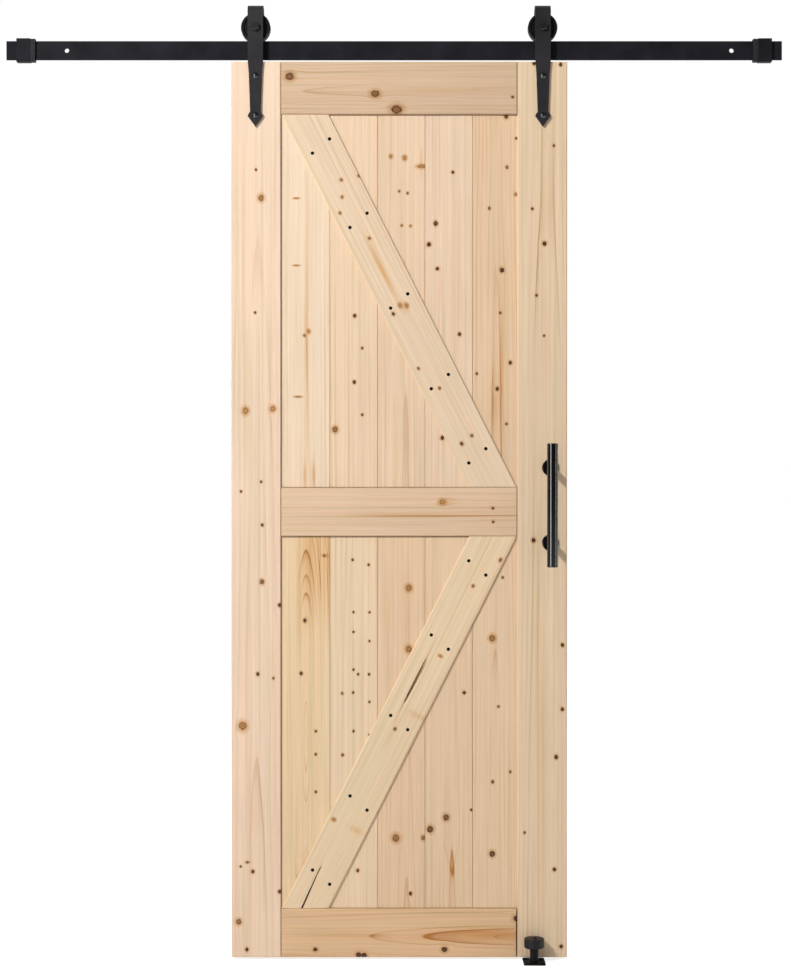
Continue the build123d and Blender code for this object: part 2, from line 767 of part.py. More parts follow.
def guide_bolt():
    """A shouldered bolt: the roller turns on its shoulder, and its head keeps the roller on."""
    seat = roller_low() - GUIDE_AXIAL_PLAY
    under_head = roller_low() + ROLLER_HEIGHT + GUIDE_AXIAL_PLAY
    place = Pos(GUIDE_X, guide_y(), under_head)
    bolt = domed_bolt(SHOULDER_R, GUIDE_HEAD_R, GUIDE_HEAD_HEIGHT, place, under_head - seat)
    return bolt + rod(AXLE_R, (GUIDE_X, guide_y(), seat - GUIDE_THREAD), (GUIDE_X, guide_y(), seat))


def roller():
    low = (GUIDE_X, guide_y(), roller_low())
    high = (GUIDE_X, guide_y(), roller_low() + ROLLER_HEIGHT)
    body = rod(ROLLER_R, low, high)
    body = fillet(body.edges().filter_by(GeomType.CIRCLE), ROLLER_EDGE)
    return body - rod(BUSH_R, low, high)


def roller_bush():
    low = (GUIDE_X, guide_y(), roller_low())
    return tube(BUSH_R, SHOULDER_R + SHOULDER_PLAY, low, (GUIDE_X, guide_y(), roller_low() + ROLLER_HEIGHT))


os.makedirs("parts", exist_ok=True)

save("rail", rail())
save("left_stop", stop(-1))
save("right_stop", stop(1))
save("left_bumper", bumper(-1))
save("right_bumper", bumper(1))
save("stop_screws", *[set_screw(x, z) for side in (-1, 1) for x, z in set_screw_places(side)])

save("left_stile", stile(-1))
save("right_stile", stile(1))
save("top_rail", cross_rail(DOOR_TOP, TOP_RAIL_Z, False, True))
save("middle_rail", cross_rail(MIDDLE_TOP, MIDDLE_BOTTOM, True, True))
save("bottom_rail", cross_rail(BOTTOM_RAIL_Z, DOOR_BOTTOM, True, False))
save("frame_dowels", *[dowel(side, z) for side in (-1, 1) for z in dowel_places()])

panels = (("upper", TOP_RAIL_Z, MIDDLE_TOP, 1), ("lower", MIDDLE_BOTTOM, BOTTOM_RAIL_Z, -1))
screws = []
for panel, high, low, way in panels:
    places = screw_places(high, low, way)
    holes = [screw_hole(x, z) for x, z in places]
    screws += [brace_screw(x, z) for x, z in places]
    for number, plank in enumerate(drilled_boards(high, low, holes), start=1):
        save(f"{panel}_board_{number}", plank)
    timber = brace(high, low, way, holes)
    if panel == "lower":
        timber = timber - split_cut() - check_cut()
    save(f"{panel}_brace", timber)
save("brace_screws", *screws)

save("left_hanger", hanger(-1))
save("right_hanger", hanger(1))
bolt_places = [(side, z) for side in (-1, 1) for z in STRAP_BOLT_Z]
save("hanger_bolts", *[hanger_bolt(side, z) for side, z in bolt_places])
save("hanger_washers", *[back_washer(side * HANGER_X, z, HANGER_BOLT_R) for side, z in bolt_places])
save("hanger_nuts", *[hanger_nut(side, z) for side, z in bolt_places])
save("axle_bolts", *both_sides(axle_bolt))
save("axle_washers", *both_sides(axle_washer))
save("axle_nuts", *both_sides(axle_nut))
save("axle_spacers", *axle_spacers(-1), *axle_spacers(1))
save("bearing_inner_rings", *both_sides(bearing_inner_ring))

for name, side in (("left", -1), ("right", 1)):
    save(f"{name}_wheel", wheel(side))
    save(f"{name}_bearing_ring", bearing_outer_ring(side))
    save(f"{name}_bearing_balls", *bearing_balls(side))

save("handle_bar", handle_bar())
save("handle_posts", *[handle_post(z) for z in HANDLE_BASE_Z])
save("handle_bases", *[handle_base(z) for z in HANDLE_BASE_Z])
save("handle_bolts", *[handle_bolt(z) for z in HANDLE_BASE_Z])
save("handle_washers", *[back_washer(HANDLE_X, z, HANDLE_BOLT_R) for z in HANDLE_BASE_Z])

save("guide_plate", guide_plate())
save("guide_post", guide_post())
save("guide_bolt", guide_bolt())
save("guide_roller", roller())
save("guide_bush", roller_bush())

print("axle height", AXLE_Z, "floor", FLOOR, "door front", DOOR_FRONT, "guide y", guide_y())
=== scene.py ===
# %% [markdown]
# # Dressing a sliding barn door
# The CAD model gives every board, strap, wheel and bolt its true shape and place. This lesson gives them
# their looks: raw spruce with knots and streaks, black coated steel, turned nylon, and a white photo studio.
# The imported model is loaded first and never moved. Its box is kept, so that the end can show nothing grew.

# %% Load the door and measure it
import math

import bpy
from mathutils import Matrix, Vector


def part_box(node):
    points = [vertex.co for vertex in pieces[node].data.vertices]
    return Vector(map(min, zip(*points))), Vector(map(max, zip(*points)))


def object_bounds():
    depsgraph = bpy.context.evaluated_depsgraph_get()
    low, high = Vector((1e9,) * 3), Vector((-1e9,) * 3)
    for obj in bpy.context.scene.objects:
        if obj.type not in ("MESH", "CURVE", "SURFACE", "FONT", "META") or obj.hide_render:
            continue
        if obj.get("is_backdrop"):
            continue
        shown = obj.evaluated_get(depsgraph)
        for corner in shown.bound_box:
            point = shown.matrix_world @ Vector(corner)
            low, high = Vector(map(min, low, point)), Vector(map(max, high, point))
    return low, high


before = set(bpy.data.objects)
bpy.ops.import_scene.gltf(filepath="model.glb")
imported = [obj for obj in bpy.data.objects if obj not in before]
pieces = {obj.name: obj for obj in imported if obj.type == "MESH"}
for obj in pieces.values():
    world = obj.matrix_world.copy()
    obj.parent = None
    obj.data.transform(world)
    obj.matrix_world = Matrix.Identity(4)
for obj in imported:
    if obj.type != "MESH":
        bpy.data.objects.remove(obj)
cad_low, cad_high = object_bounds()
bpy.ops.object.select_all(action="DESELECT")
scene = bpy.context.scene
MM = 0.001
print(len(pieces), "pieces, box in mm", [round(v / MM) for v in (cad_high - cad_low)])

# %% [markdown]
# ## The camera
# The photograph looks straight at the door from about four and a half metres, at half the door's height,
# so upright edges stay upright. A camera could be moved until it looks right, but the door's corners give
# its place and its focal length in pixels directly. Blender's sensor width belongs to the longer side of a
# picture, which is its height here.

# %% Camera
IMAGE_HEIGHT = 976
FOCAL_PIXELS = 1866.1
CAMERA_PLACE = (-0.0088, -4.462, -1.0245)
CAMERA_NOD = -0.0043

camera_data = bpy.data.cameras.new("camera")
camera_data.lens = FOCAL_PIXELS * camera_data.sensor_width / IMAGE_HEIGHT
camera = bpy.data.objects.new("camera", camera_data)
scene.collection.objects.link(camera)
camera.location = CAMERA_PLACE
camera.rotation_euler = (math.pi / 2 + CAMERA_NOD, 0, 0)
scene.camera = camera
print("lens", round(camera_data.lens, 2), "mm")

# %% [markdown]
# ## Two small helpers
# Hex colours are written as a screen shows them, and Blender calculates in linear light, so one function
# turns one into the other. Every material is a tree of nodes, and one function adds any node: its own
# options come by name, its inputs by socket, and a colour ramp also takes its stops.

# %% Colours and nodes
MATH = "ShaderNodeMath"
VECTOR = "ShaderNodeVectorMath"
NOISE = "ShaderNodeTexNoise"
RANGE = "ShaderNodeMapRange"
RAMP = "ShaderNodeValToRGB"
MIX = "ShaderNodeMix"
FACTOR, FIRST, SECOND, MIXED = 0, 6, 7, 2


def linear(hex_colour):
    """The linear colour of an sRGB hex value such as #E6C9AA."""
    parts = [int(hex_colour[i : i + 2], 16) / 255 for i in (1, 3, 5)]
    return (*[p / 12.92 if p <= 0.04045 else ((p + 0.055) / 1.055) ** 2.4 for p in parts], 1.0)


def add(tree, kind, inputs=None, stops=(), **options):
    """Adds one node and gives its outputs."""
    made = tree.nodes.new(kind)
    for option, value in options.items():
        setattr(made, option, value)
    for count, (position, hex_colour) in enumerate(stops):
        elements = made.color_ramp.elements
        stop = elements[count] if count < 2 else elements.new(position)
        stop.position = position
        stop.color = linear(hex_colour)
    for socket, value in (inputs or {}).items():
        if isinstance(value, bpy.types.NodeSocket):
            tree.links.new(value, made.inputs[socket])
        else:
            made.inputs[socket].default_value = value
    return made.outputs


print("pale spruce in linear light:", [round(v, 3) for v in linear("#E6C9AA")])

# %% [markdown]
# ## A white studio
# The picture has a pure white background and soft light all round. The world is white to the camera. In
# reflections the backdrop behind the door is white too, and the room in front of it is dim, as a studio is,
# so black steel stays black. As a lamp the world is well below white, or it would wash out the wood. The
# Light Path node tells the kinds of ray apart.

# %% World
FILL_LIGHT = 0.36
ROOM_LIGHT = 0.07
ROOM_ENDS, BACKDROP_STARTS = -0.1, 0.3

scene.view_settings.view_transform = "Standard"
world = bpy.data.worlds.new("white_studio")
scene.world = world
world.use_nodes = True
sky = world.node_tree
sky.nodes.clear()
rays = add(sky, "ShaderNodeLightPath")
toward = add(sky, "ShaderNodeTexCoord")["Generated"]
toward = add(sky, "ShaderNodeSeparateXYZ", {0: toward})["Y"]
studio = {"Value": toward, "From Min": ROOM_ENDS, "From Max": BACKDROP_STARTS, "To Min": ROOM_LIGHT}
studio = add(sky, RANGE, studio)[0]
mirrored = add(sky, RANGE, {"Value": rays["Is Glossy Ray"], "To Min": FILL_LIGHT, "To Max": studio})
seen = add(sky, MATH, {0: rays["Is Camera Ray"], 1: rays["Is Transmission Ray"]}, operation="MAXIMUM")
level = add(sky, MATH, {0: mirrored[0], 1: seen[0]}, operation="MAXIMUM")
white = add(sky, "ShaderNodeBackground", {"Color": linear("#FFFFFF"), "Strength": level[0]})
add(sky, "ShaderNodeOutputWorld", {"Surface": white[0]})
print("world: white to the eye,", FILL_LIGHT, "as a lamp")

# %% [markdown]
# ## The floor
# The door hangs just clear of a floor that fades into the white. A plain white floor would render grey, so
# for what the eye sees it glows a little and adds the light that falls on it: lit parts reach white, and the
# shadow of the door stays. To all other rays it is an ordinary pale floor.

# %% Floor
FLOOR_SIZE = 60.0
FLOOR_GLOW = 0.75

bpy.ops.mesh.primitive_plane_add(size=FLOOR_SIZE, location=(0, 0, cad_low.z))
bpy.ops.object.transform_apply(location=True, rotation=True, scale=True)
floor = bpy.context.object
floor.name = "studio_floor"
paper = bpy.data.materials.new("white_paper_floor")
paper.use_nodes = True
tree = paper.node_tree
tree.nodes.clear()
rays = add(tree, "ShaderNodeLightPath")
mirrored = add(tree, MATH, {0: rays["Is Glossy Ray"], 1: rays["Is Transmission Ray"]}, operation="MAXIMUM")
seen = add(tree, MATH, {0: mirrored[0], 1: rays["Is Camera Ray"]}, operation="MAXIMUM")
glow = add(tree, MATH, {0: seen[0], 1: FLOOR_GLOW}, operation="MULTIPLY")
light = add(tree, "ShaderNodeEmission", {"Color": linear("#FFFFFF"), "Strength": glow[0]})
matte = add(tree, "ShaderNodeBsdfDiffuse", {"Color": linear("#DCDCDC")})
both = add(tree, "ShaderNodeAddShader", {0: light[0], 1: matte[0]})
add(tree, "ShaderNodeOutputMaterial", {"Surface": both[0]})
floor.data.materials.append(paper)
floor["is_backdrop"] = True
print("floor at", round(cad_low.z / MM), "mm")

# %% [markdown]
# ## The lamps
# One lamp stands high and well to the left: it throws the thin dark lines at the right of the left stile and
# of the braces, and the short shadow of the handle's feet. Two tall strips light only reflections. They draw
# the two bright lines down the round pull bar, so each stands where the bar's curve mirrors it to the camera.
# A last lamp behind the door lights its back, for whoever walks round it.

# %% Lamps
DOOR_MIDDLE = (0.0, 0.0, -1.0)
PULL_BAR = (0.36, -0.081, -1.08)


def lamp(name, place, aim, width, height, watts):
    """A rectangular lamp that looks at a point."""
    data = bpy.data.lights.new(name, "AREA")
    data.shape = "RECTANGLE"
    data.size = width
    data.size_y = height
    data.energy = watts
    made = bpy.data.objects.new(name, data)
    scene.collection.objects.link(made)
    made.location = place
    made.rotation_euler = (made.location - Vector(aim)).to_track_quat("Z", "Y").to_euler()
    return made


lamp("key_lamp", (-3.1, -3.65, 2.4), DOOR_MIDDLE, 0.5, 0.5, 283.0)
strips = [
    lamp("left_strip", (-1.98, -2.682, -1.425), PULL_BAR, 0.5, 1.45, 70.0),
    lamp("right_strip", (2.82, -0.932, -1.425), PULL_BAR, 0.2, 1.45, 19.0),
]
for strip in strips:
    strip.visible_diffuse = False
back = lamp("back_lamp", (2.4, 3.8, 1.2), DOOR_MIDDLE, 1.0, 1.0, 100.0)
back.visible_glossy = False
print(len(bpy.data.lights), "lamps")

# %% [markdown]
# ## Spruce, part one: a knot
# A knot is the foot of a branch. On a planed board it is an oval, longer along the grain, and the grain
# swerves round it. One node group draws one knot: it measures how far a point is from the knot, in units of
# the knot's own size, keeps that if this knot is the nearest so far, and adds its sideways push on the grain.
# Groups are chained, so a board has as many knots as it needs, each close to where the real one is.

# %% The knot group
knot_tree = bpy.data.node_groups.new("spruce_knot", "ShaderNodeTree")
for socket in ("Across", "Along", "Ragged", "Knot across", "Knot along", "Half width", "Half length", "Tone"):
    knot_tree.interface.new_socket(name=socket, in_out="INPUT", socket_type="NodeSocketFloat")
for socket in ("Nearest", "Nearest tone", "Push"):
    knot_tree.interface.new_socket(name=socket, in_out="INPUT", socket_type="NodeSocketFloat")
    knot_tree.interface.new_socket(name=socket, in_out="OUTPUT", socket_type="NodeSocketFloat")

KNOT_PUSH = 0.85
PUSH_WIDTH = 2.2
PUSH_LENGTH = 3.2

given = add(knot_tree, "NodeGroupInput")
across = add(knot_tree, MATH, {0: given["Across"], 1: given["Knot across"]}, operation="SUBTRACT")[0]
along = add(knot_tree, MATH, {0: given["Along"], 1: given["Knot along"]}, operation="SUBTRACT")[0]
sides = add(knot_tree, MATH, {0: across, 1: given["Half width"]}, operation="DIVIDE")[0]
ends = add(knot_tree, MATH, {0: along, 1: given["Half length"]}, operation="DIVIDE")[0]
sides_2 = add(knot_tree, MATH, {0: sides, 1: sides}, operation="MULTIPLY")[0]
ends_2 = add(knot_tree, MATH, {0: ends, 1: ends}, operation="MULTIPLY")[0]
apart_2 = add(knot_tree, MATH, {0: sides_2, 1: ends_2}, operation="ADD")[0]
apart = add(knot_tree, MATH, {0: apart_2}, operation="SQRT")[0]
apart = add(knot_tree, MATH, {0: apart, 1: given["Ragged"]}, operation="ADD")[0]
nearest = add(knot_tree, MATH, {0: apart, 1: given["Nearest"]}, operation="MINIMUM")[0]
closer = add(knot_tree, MATH, {0: apart, 1: given["Nearest"]}, operation="LESS_THAN")[0]
change = add(knot_tree, MATH, {0: given["Tone"], 1: given["Nearest tone"]}, operation="SUBTRACT")[0]
tone = add(knot_tree, MATH, {0: change, 1: closer, 2: given["Nearest tone"]}, operation="MULTIPLY_ADD")[0]
fade = add(knot_tree, MATH, {0: sides_2, 1: -1 / PUSH_WIDTH**2}, operation="MULTIPLY")[0]
fade = add(knot_tree, MATH, {0: ends_2, 1: -1 / PUSH_LENGTH**2, 2: fade}, operation="MULTIPLY_ADD")[0]
fade = add(knot_tree, MATH, {0: fade}, operation="EXPONENT")[0]
push = add(knot_tree, MATH, {0: across, 1: KNOT_PUSH}, operation="MULTIPLY")[0]
push = add(knot_tree, MATH, {0: push, 1: fade, 2: given["Push"]}, operation="MULTIPLY_ADD")[0]
add(knot_tree, "NodeGroupOutput", {"Nearest": nearest, "Nearest tone": tone, "Push": push})
print("knot group:", len(knot_tree.nodes), "nodes")

# %% [markdown]
# ## Spruce, part two: a resin streak
# Resin and heartwood leave orange or yellow streaks along the grain. A streak is a soft bump of colour, far
# longer than it is wide, and it may slope a little against the board. Its group works out how strong the
# streak is at a point and adds it to the others.

# %% The streak group
streak_tree = bpy.data.node_groups.new("resin_streak", "ShaderNodeTree")
streak_sockets = ("Across", "Along", "Streak across", "Streak along", "Half width", "Half length", "Slope")
for socket in (*streak_sockets, "Strength"):
    streak_tree.interface.new_socket(name=socket, in_out="INPUT", socket_type="NodeSocketFloat")
streak_tree.interface.new_socket(name="Resin", in_out="INPUT", socket_type="NodeSocketFloat")
streak_tree.interface.new_socket(name="Resin", in_out="OUTPUT", socket_type="NodeSocketFloat")

given = add(streak_tree, "NodeGroupInput")
across = add(streak_tree, MATH, {0: given["Across"], 1: given["Streak across"]}, operation="SUBTRACT")[0]
along = add(streak_tree, MATH, {0: given["Along"], 1: given["Streak along"]}, operation="SUBTRACT")[0]
sloped = add(streak_tree, MATH, {0: along, 1: given["Slope"]}, operation="MULTIPLY")[0]
across = add(streak_tree, MATH, {0: across, 1: sloped}, operation="SUBTRACT")[0]
sides = add(streak_tree, MATH, {0: across, 1: given["Half width"]}, operation="DIVIDE")[0]
ends = add(streak_tree, MATH, {0: along, 1: given["Half length"]}, operation="DIVIDE")[0]
sides_2 = add(streak_tree, MATH, {0: sides, 1: sides}, operation="MULTIPLY")[0]
apart_2 = add(streak_tree, MATH, {0: ends, 1: ends, 2: sides_2}, operation="MULTIPLY_ADD")[0]
fade = add(streak_tree, MATH, {0: apart_2, 1: -1.0}, operation="MULTIPLY")[0]
fade = add(streak_tree, MATH, {0: fade}, operation="EXPONENT")[0]
resin = {0: fade, 1: given["Strength"], 2: given["Resin"]}
resin = add(streak_tree, MATH, resin, operation="MULTIPLY_ADD")[0]
add(streak_tree, "NodeGroupOutput", {"Resin": resin})
print("streak group:", len(streak_tree.nodes), "nodes")

# %% [markdown]
# ## Spruce, part three: year rings
# A board is a slice of a trunk, so its figure is worked out in the solid: the distance from the trunk's
# heart, divided by the width of a year's growth, gives the rings. The heart leans a little against the board,
# which makes the pointed arches on a flat-sawn face, and the same sum draws the arcs on the sawn ends.
# Each ring is pale spring wood that darkens to a thin line of late wood, and no two rings are alike. Widths
# are across the grain and lengths along it, in millimetres.

# %% The figure group: rings
figure = bpy.data.node_groups.new("spruce_figure", "ShaderNodeTree")
for socket in ("Place", "Heart", "Seed"):
    figure.interface.new_socket(name=socket, in_out="INPUT", socket_type="NodeSocketVector")
figure.interface.new_socket(name="Board colour", in_out="INPUT", socket_type="NodeSocketColor")
for socket in ("Lean", "Ring width", "Contrast", "Nearest", "Nearest tone", "Push", "Resin"):
    figure.interface.new_socket(name=socket, in_out="INPUT", socket_type="NodeSocketFloat")
figure.interface.new_socket(name="Colour", in_out="OUTPUT", socket_type="NodeSocketColor")
for socket in ("Roughness", "Height"):
    figure.interface.new_socket(name=socket, in_out="OUTPUT", socket_type="NodeSocketFloat")

HEART_DRIFT = 14.0
RING_WAVE = 3.0
RING_DRIFT = 10.0
HEART_DRIFT_LENGTH = 700
WAVE_WIDTH, WAVE_LENGTH = 40, 420
FAT_YEARS_APART = 22

given = add(figure, "NodeGroupInput")
place, seed = given["Place"], given["Seed"]
slow = (0, 0, 1 / HEART_DRIFT_LENGTH)
slow = add(figure, VECTOR, {0: place, 1: slow, 2: seed}, operation="MULTIPLY_ADD")[0]
drift = add(figure, NOISE, {"Vector": slow, "Scale": 1.0, "Detail": 1.0})[1]
drift = add(figure, VECTOR, {0: drift, 1: (0.5, 0.5, 0.5)}, operation="SUBTRACT")[0]
drift = add(figure, VECTOR, {0: drift, 1: (HEART_DRIFT, HEART_DRIFT, 0)}, operation="MULTIPLY")[0]
out = add(figure, VECTOR, {0: place, 1: given["Heart"]}, operation="SUBTRACT")[0]
out = add(figure, VECTOR, {0: out, 1: drift}, operation="ADD")[0]
out = add(figure, "ShaderNodeSeparateXYZ", {0: out})
side = add(figure, MATH, {0: out["X"], 1: given["Push"]}, operation="SUBTRACT")[0]
leaned = add(figure, MATH, {0: out["Z"], 1: given["Lean"]}, operation="MULTIPLY")[0]
deep = add(figure, MATH, {0: leaned, 1: out["Y"]}, operation="SUBTRACT")[0]
ray = add(figure, "ShaderNodeCombineXYZ", {"X": side, "Y": deep})[0]
radius = add(figure, VECTOR, {0: ray}, operation="LENGTH")["Value"]
spread = (1 / WAVE_WIDTH, 1 / WAVE_WIDTH, 1 / WAVE_LENGTH)
spread = add(figure, VECTOR, {0: place, 1: spread, 2: seed}, operation="MULTIPLY_ADD")[0]
wave = add(figure, NOISE, {"Vector": spread, "Scale": 1.0, "Detail": 2.0})[0]
radius = add(figure, MATH, {0: wave, 1: RING_WAVE, 2: radius}, operation="MULTIPLY_ADD")[0]
years = {"W": radius, "Scale": 1 / FAT_YEARS_APART, "Detail": 1.0}
years = add(figure, NOISE, years, noise_dimensions="1D")[0]
radius = add(figure, MATH, {0: years, 1: RING_DRIFT, 2: radius}, operation="MULTIPLY_ADD")[0]
rings = add(figure, MATH, {0: radius, 1: given["Ring width"]}, operation="DIVIDE")[0]
year = add(figure, MATH, {0: rings}, operation="FLOOR")[0]
season = add(figure, MATH, {0: rings}, operation="FRACT")[0]
print("rings measured from the heart with", len(figure.nodes), "nodes")

# %% The figure group: late wood
RESIN_BOOST = 3.0
WEAK_YEARS, FAINTEST_YEAR, CLEAREST_YEAR = 0.35, 0.05, 1.15
PATCH_WIDTH, PATCH_LENGTH = 60, 450
PATCH_STARTS, PATCH_IS_FULL = 0.35, 0.7
FAINTEST_PATCH, CLEAREST_PATCH = 0.12, 1.1

late_wood = add(
    figure,
    RAMP,
    {0: season},
    stops=((0, "#9A9A9A"), (0.06, "#000000"), (0.55, "#101010"), (0.85, "#A0A0A0"), (0.95, "#FFFFFF")),
)[0]
strong_year = add(figure, "ShaderNodeTexWhiteNoise", {"W": year}, noise_dimensions="1D")["Value"]
strong_year = {"Value": strong_year, "From Min": WEAK_YEARS, "To Min": FAINTEST_YEAR}
strong_year = add(figure, RANGE, strong_year | {"To Max": CLEAREST_YEAR})[0]
patch = (1 / PATCH_WIDTH, 1 / PATCH_WIDTH, 1 / PATCH_LENGTH)
patch = add(figure, VECTOR, {0: place, 1: patch, 2: seed}, operation="MULTIPLY_ADD")[0]
patch = add(figure, NOISE, {"Vector": patch, "Scale": 1.0, "Detail": 0.0})[0]
patch = {"Value": patch, "From Min": PATCH_STARTS, "From Max": PATCH_IS_FULL}
patch = add(figure, RANGE, patch | {"To Min": FAINTEST_PATCH, "To Max": CLEAREST_PATCH})[0]
dark = add(figure, MATH, {0: late_wood, 1: strong_year}, operation="MULTIPLY")[0]
dark = add(figure, MATH, {0: dark, 1: patch}, operation="MULTIPLY")[0]
boost = {0: given["Resin"], 1: RESIN_BOOST, 2: given["Contrast"]}
boost = add(figure, MATH, boost, operation="MULTIPLY_ADD")[0]
dark = add(figure, MATH, {0: dark, 1: boost}, operation="MULTIPLY", use_clamp=True)[0]
print("late wood drawn in the rings,", len(figure.nodes), "nodes so far")

# %% [markdown]
# ## Spruce, part four: colour
# Freshly planed spruce is a pale cream. Late wood is honey, narrow stripes run pinkish or olive along the
# board, and fine fibres break everything up. Each is a tint that multiplies the colour below it, as stain in
# real wood does. Resin and the knots come last, because they lie over the rings.

# %% The figure group: colour
late_tint = linear("#CCA66B")
pink_tint = linear("#FFF7F1")
olive_tint = linear("#F4F2E4")
BAND_WIDTH, BAND_LENGTH = 7, 700
OLIVE_IS_FULL, PLAIN, PINK_IS_FULL = 0.3, 0.5, 0.7

colour = add(figure, MIX, {FACTOR: dark, FIRST: given["Board colour"], SECOND: late_tint},
             data_type="RGBA", blend_type="MULTIPLY")[MIXED]
band = (1 / BAND_WIDTH, 1 / BAND_WIDTH, 1 / BAND_LENGTH)
band = add(figure, VECTOR, {0: place, 1: band, 2: seed}, operation="MULTIPLY_ADD")[0]
band = add(figure, NOISE, {"Vector": band, "Scale": 1.0, "Detail": 2.0})[0]
pink = add(figure, RANGE, {"Value": band, "From Min": PLAIN, "From Max": PINK_IS_FULL})[0]
olive = add(figure, RANGE, {"Value": band, "From Min": PLAIN, "From Max": OLIVE_IS_FULL})[0]
colour = add(figure, MIX, {FACTOR: pink, FIRST: colour, SECOND: pink_tint},
             data_type="RGBA", blend_type="MULTIPLY")[MIXED]
colour = add(figure, MIX, {FACTOR: olive, FIRST: colour, SECOND: olive_tint},
             data_type="RGBA", blend_type="MULTIPLY")[MIXED]
print("late wood and stripes tinted")

# %% The figure group: fibres, resin and halos
resin_tint = linear("#E8BE7C")
halo_tint = linear("#DDB67A")
FIBRES_PER_MM = (0.7, 0.7, 0.012)
STRIPES_PER_MM = (0.22, 0.22, 0.0016)
CLOUD_WIDTH, CLOUD_LENGTH = 90, 260
DARKEST_SHADE = 0.71
FIBRE_SHADE, STRIPE_SHADE, CLOUD_SHADE = 0.24, 0.24, 0.12
SOAK_SHARE, SOAK_LEAST = 0.9, 0.2
HALO_REACH, HALO_STRENGTH = 2.3, 0.75

fibre = add(figure, VECTOR, {0: place, 1: FIBRES_PER_MM, 2: seed}, operation="MULTIPLY_ADD")[0]
fibre = add(figure, NOISE, {"Vector": fibre, "Scale": 1.0, "Detail": 3.0, "Roughness": 0.65})[0]
stripe = add(figure, VECTOR, {0: place, 1: STRIPES_PER_MM, 2: seed}, operation="MULTIPLY_ADD")[0]
stripe = add(figure, NOISE, {"Vector": stripe, "Scale": 1.0, "Detail": 2.0})[0]
cloud = (1 / CLOUD_WIDTH, 1 / CLOUD_WIDTH, 1 / CLOUD_LENGTH)
cloud = add(figure, VECTOR, {0: place, 1: cloud, 2: seed}, operation="MULTIPLY_ADD")[0]
cloud = add(figure, NOISE, {"Vector": cloud, "Scale": 1.0, "Detail": 1.0})[0]
shade = add(figure, MATH, {0: fibre, 1: FIBRE_SHADE, 2: DARKEST_SHADE}, operation="MULTIPLY_ADD")[0]
shade = add(figure, MATH, {0: stripe, 1: STRIPE_SHADE, 2: shade}, operation="MULTIPLY_ADD")[0]
shade = add(figure, MATH, {0: cloud, 1: CLOUD_SHADE, 2: shade}, operation="MULTIPLY_ADD")[0]
colour = add(figure, VECTOR, {0: colour, "Scale": shade}, operation="SCALE")[0]
grainy = add(figure, MATH, {0: stripe, 1: SOAK_SHARE, 2: SOAK_LEAST}, operation="MULTIPLY_ADD")[0]
soaked = add(figure, MATH, {0: given["Resin"], 1: grainy}, operation="MULTIPLY", use_clamp=True)[0]
colour = add(figure, MIX, {FACTOR: soaked, FIRST: colour, SECOND: resin_tint},
             data_type="RGBA", blend_type="MULTIPLY")[MIXED]
halo = {"Value": given["Nearest"], "From Min": HALO_REACH, "From Max": 1.0, "To Max": HALO_STRENGTH}
halo = add(figure, RANGE, halo)[0]
colour = add(figure, MIX, {FACTOR: halo, FIRST: colour, SECOND: halo_tint},
             data_type="RGBA", blend_type="MULTIPLY")[MIXED]
print("wood colour laid over the rings")

# %% [markdown]
# ## Spruce, part five: colour inside the knots
# A sound knot is golden with a darker rim. A loose one is nearly black, with a black rim where its bark was.
# The knot's tone blends between the two, and a mottle keeps its inside from being flat.

# %% The figure group: knots
MOTTLE_SIZE, MOTTLE_SHARE, MOTTLE_LEAST = 3.5, 0.5, -0.12
KNOT_FADES_OUT, KNOT_IS_WHOLE = 1.2, 0.95
SMOOTHEST_WOOD, FIBRE_ROUGHNESS, KNOT_POLISH = 0.52, 0.2, -0.12

golden_knot = add(
    figure,
    RAMP,
    {0: given["Nearest"]},
    stops=((0, "#AC7436"), (0.4, "#C69556"), (0.7, "#B27B40"), (0.9, "#8E5A2A"), (1.0, "#C49A64")),
)[0]
black_knot = add(
    figure,
    RAMP,
    {0: given["Nearest"]},
    stops=((0, "#7C3C0E"), (0.35, "#602D07"), (0.6, "#3A1A04"), (0.85, "#180B02"), (1.0, "#301806")),
)[0]
mottle = add(figure, NOISE, {"Vector": place, "Scale": 1 / MOTTLE_SIZE, "Detail": 2.0})[0]
mottle = add(figure, MATH, {0: mottle, 1: MOTTLE_SHARE, 2: MOTTLE_LEAST}, operation="MULTIPLY_ADD")[0]
tone = add(figure, MATH, {0: given["Nearest tone"], 1: mottle}, operation="ADD", use_clamp=True)[0]
knot = add(figure, MIX, {FACTOR: tone, FIRST: golden_knot, SECOND: black_knot}, data_type="RGBA")[MIXED]
inside = {"Value": given["Nearest"], "From Min": KNOT_FADES_OUT, "From Max": KNOT_IS_WHOLE}
inside = add(figure, RANGE, inside, interpolation_type="SMOOTHSTEP")[0]
colour = add(figure, MIX, {FACTOR: inside, FIRST: colour, SECOND: knot}, data_type="RGBA")[MIXED]
rough = add(figure, MATH, {0: fibre, 1: FIBRE_ROUGHNESS, 2: SMOOTHEST_WOOD}, operation="MULTIPLY_ADD")[0]
rough = add(figure, MATH, {0: inside, 1: KNOT_POLISH, 2: rough}, operation="MULTIPLY_ADD")[0]
add(figure, "NodeGroupOutput", {"Colour": colour, "Roughness": rough, "Height": fibre})
print("figure group:", len(figure.nodes), "nodes")
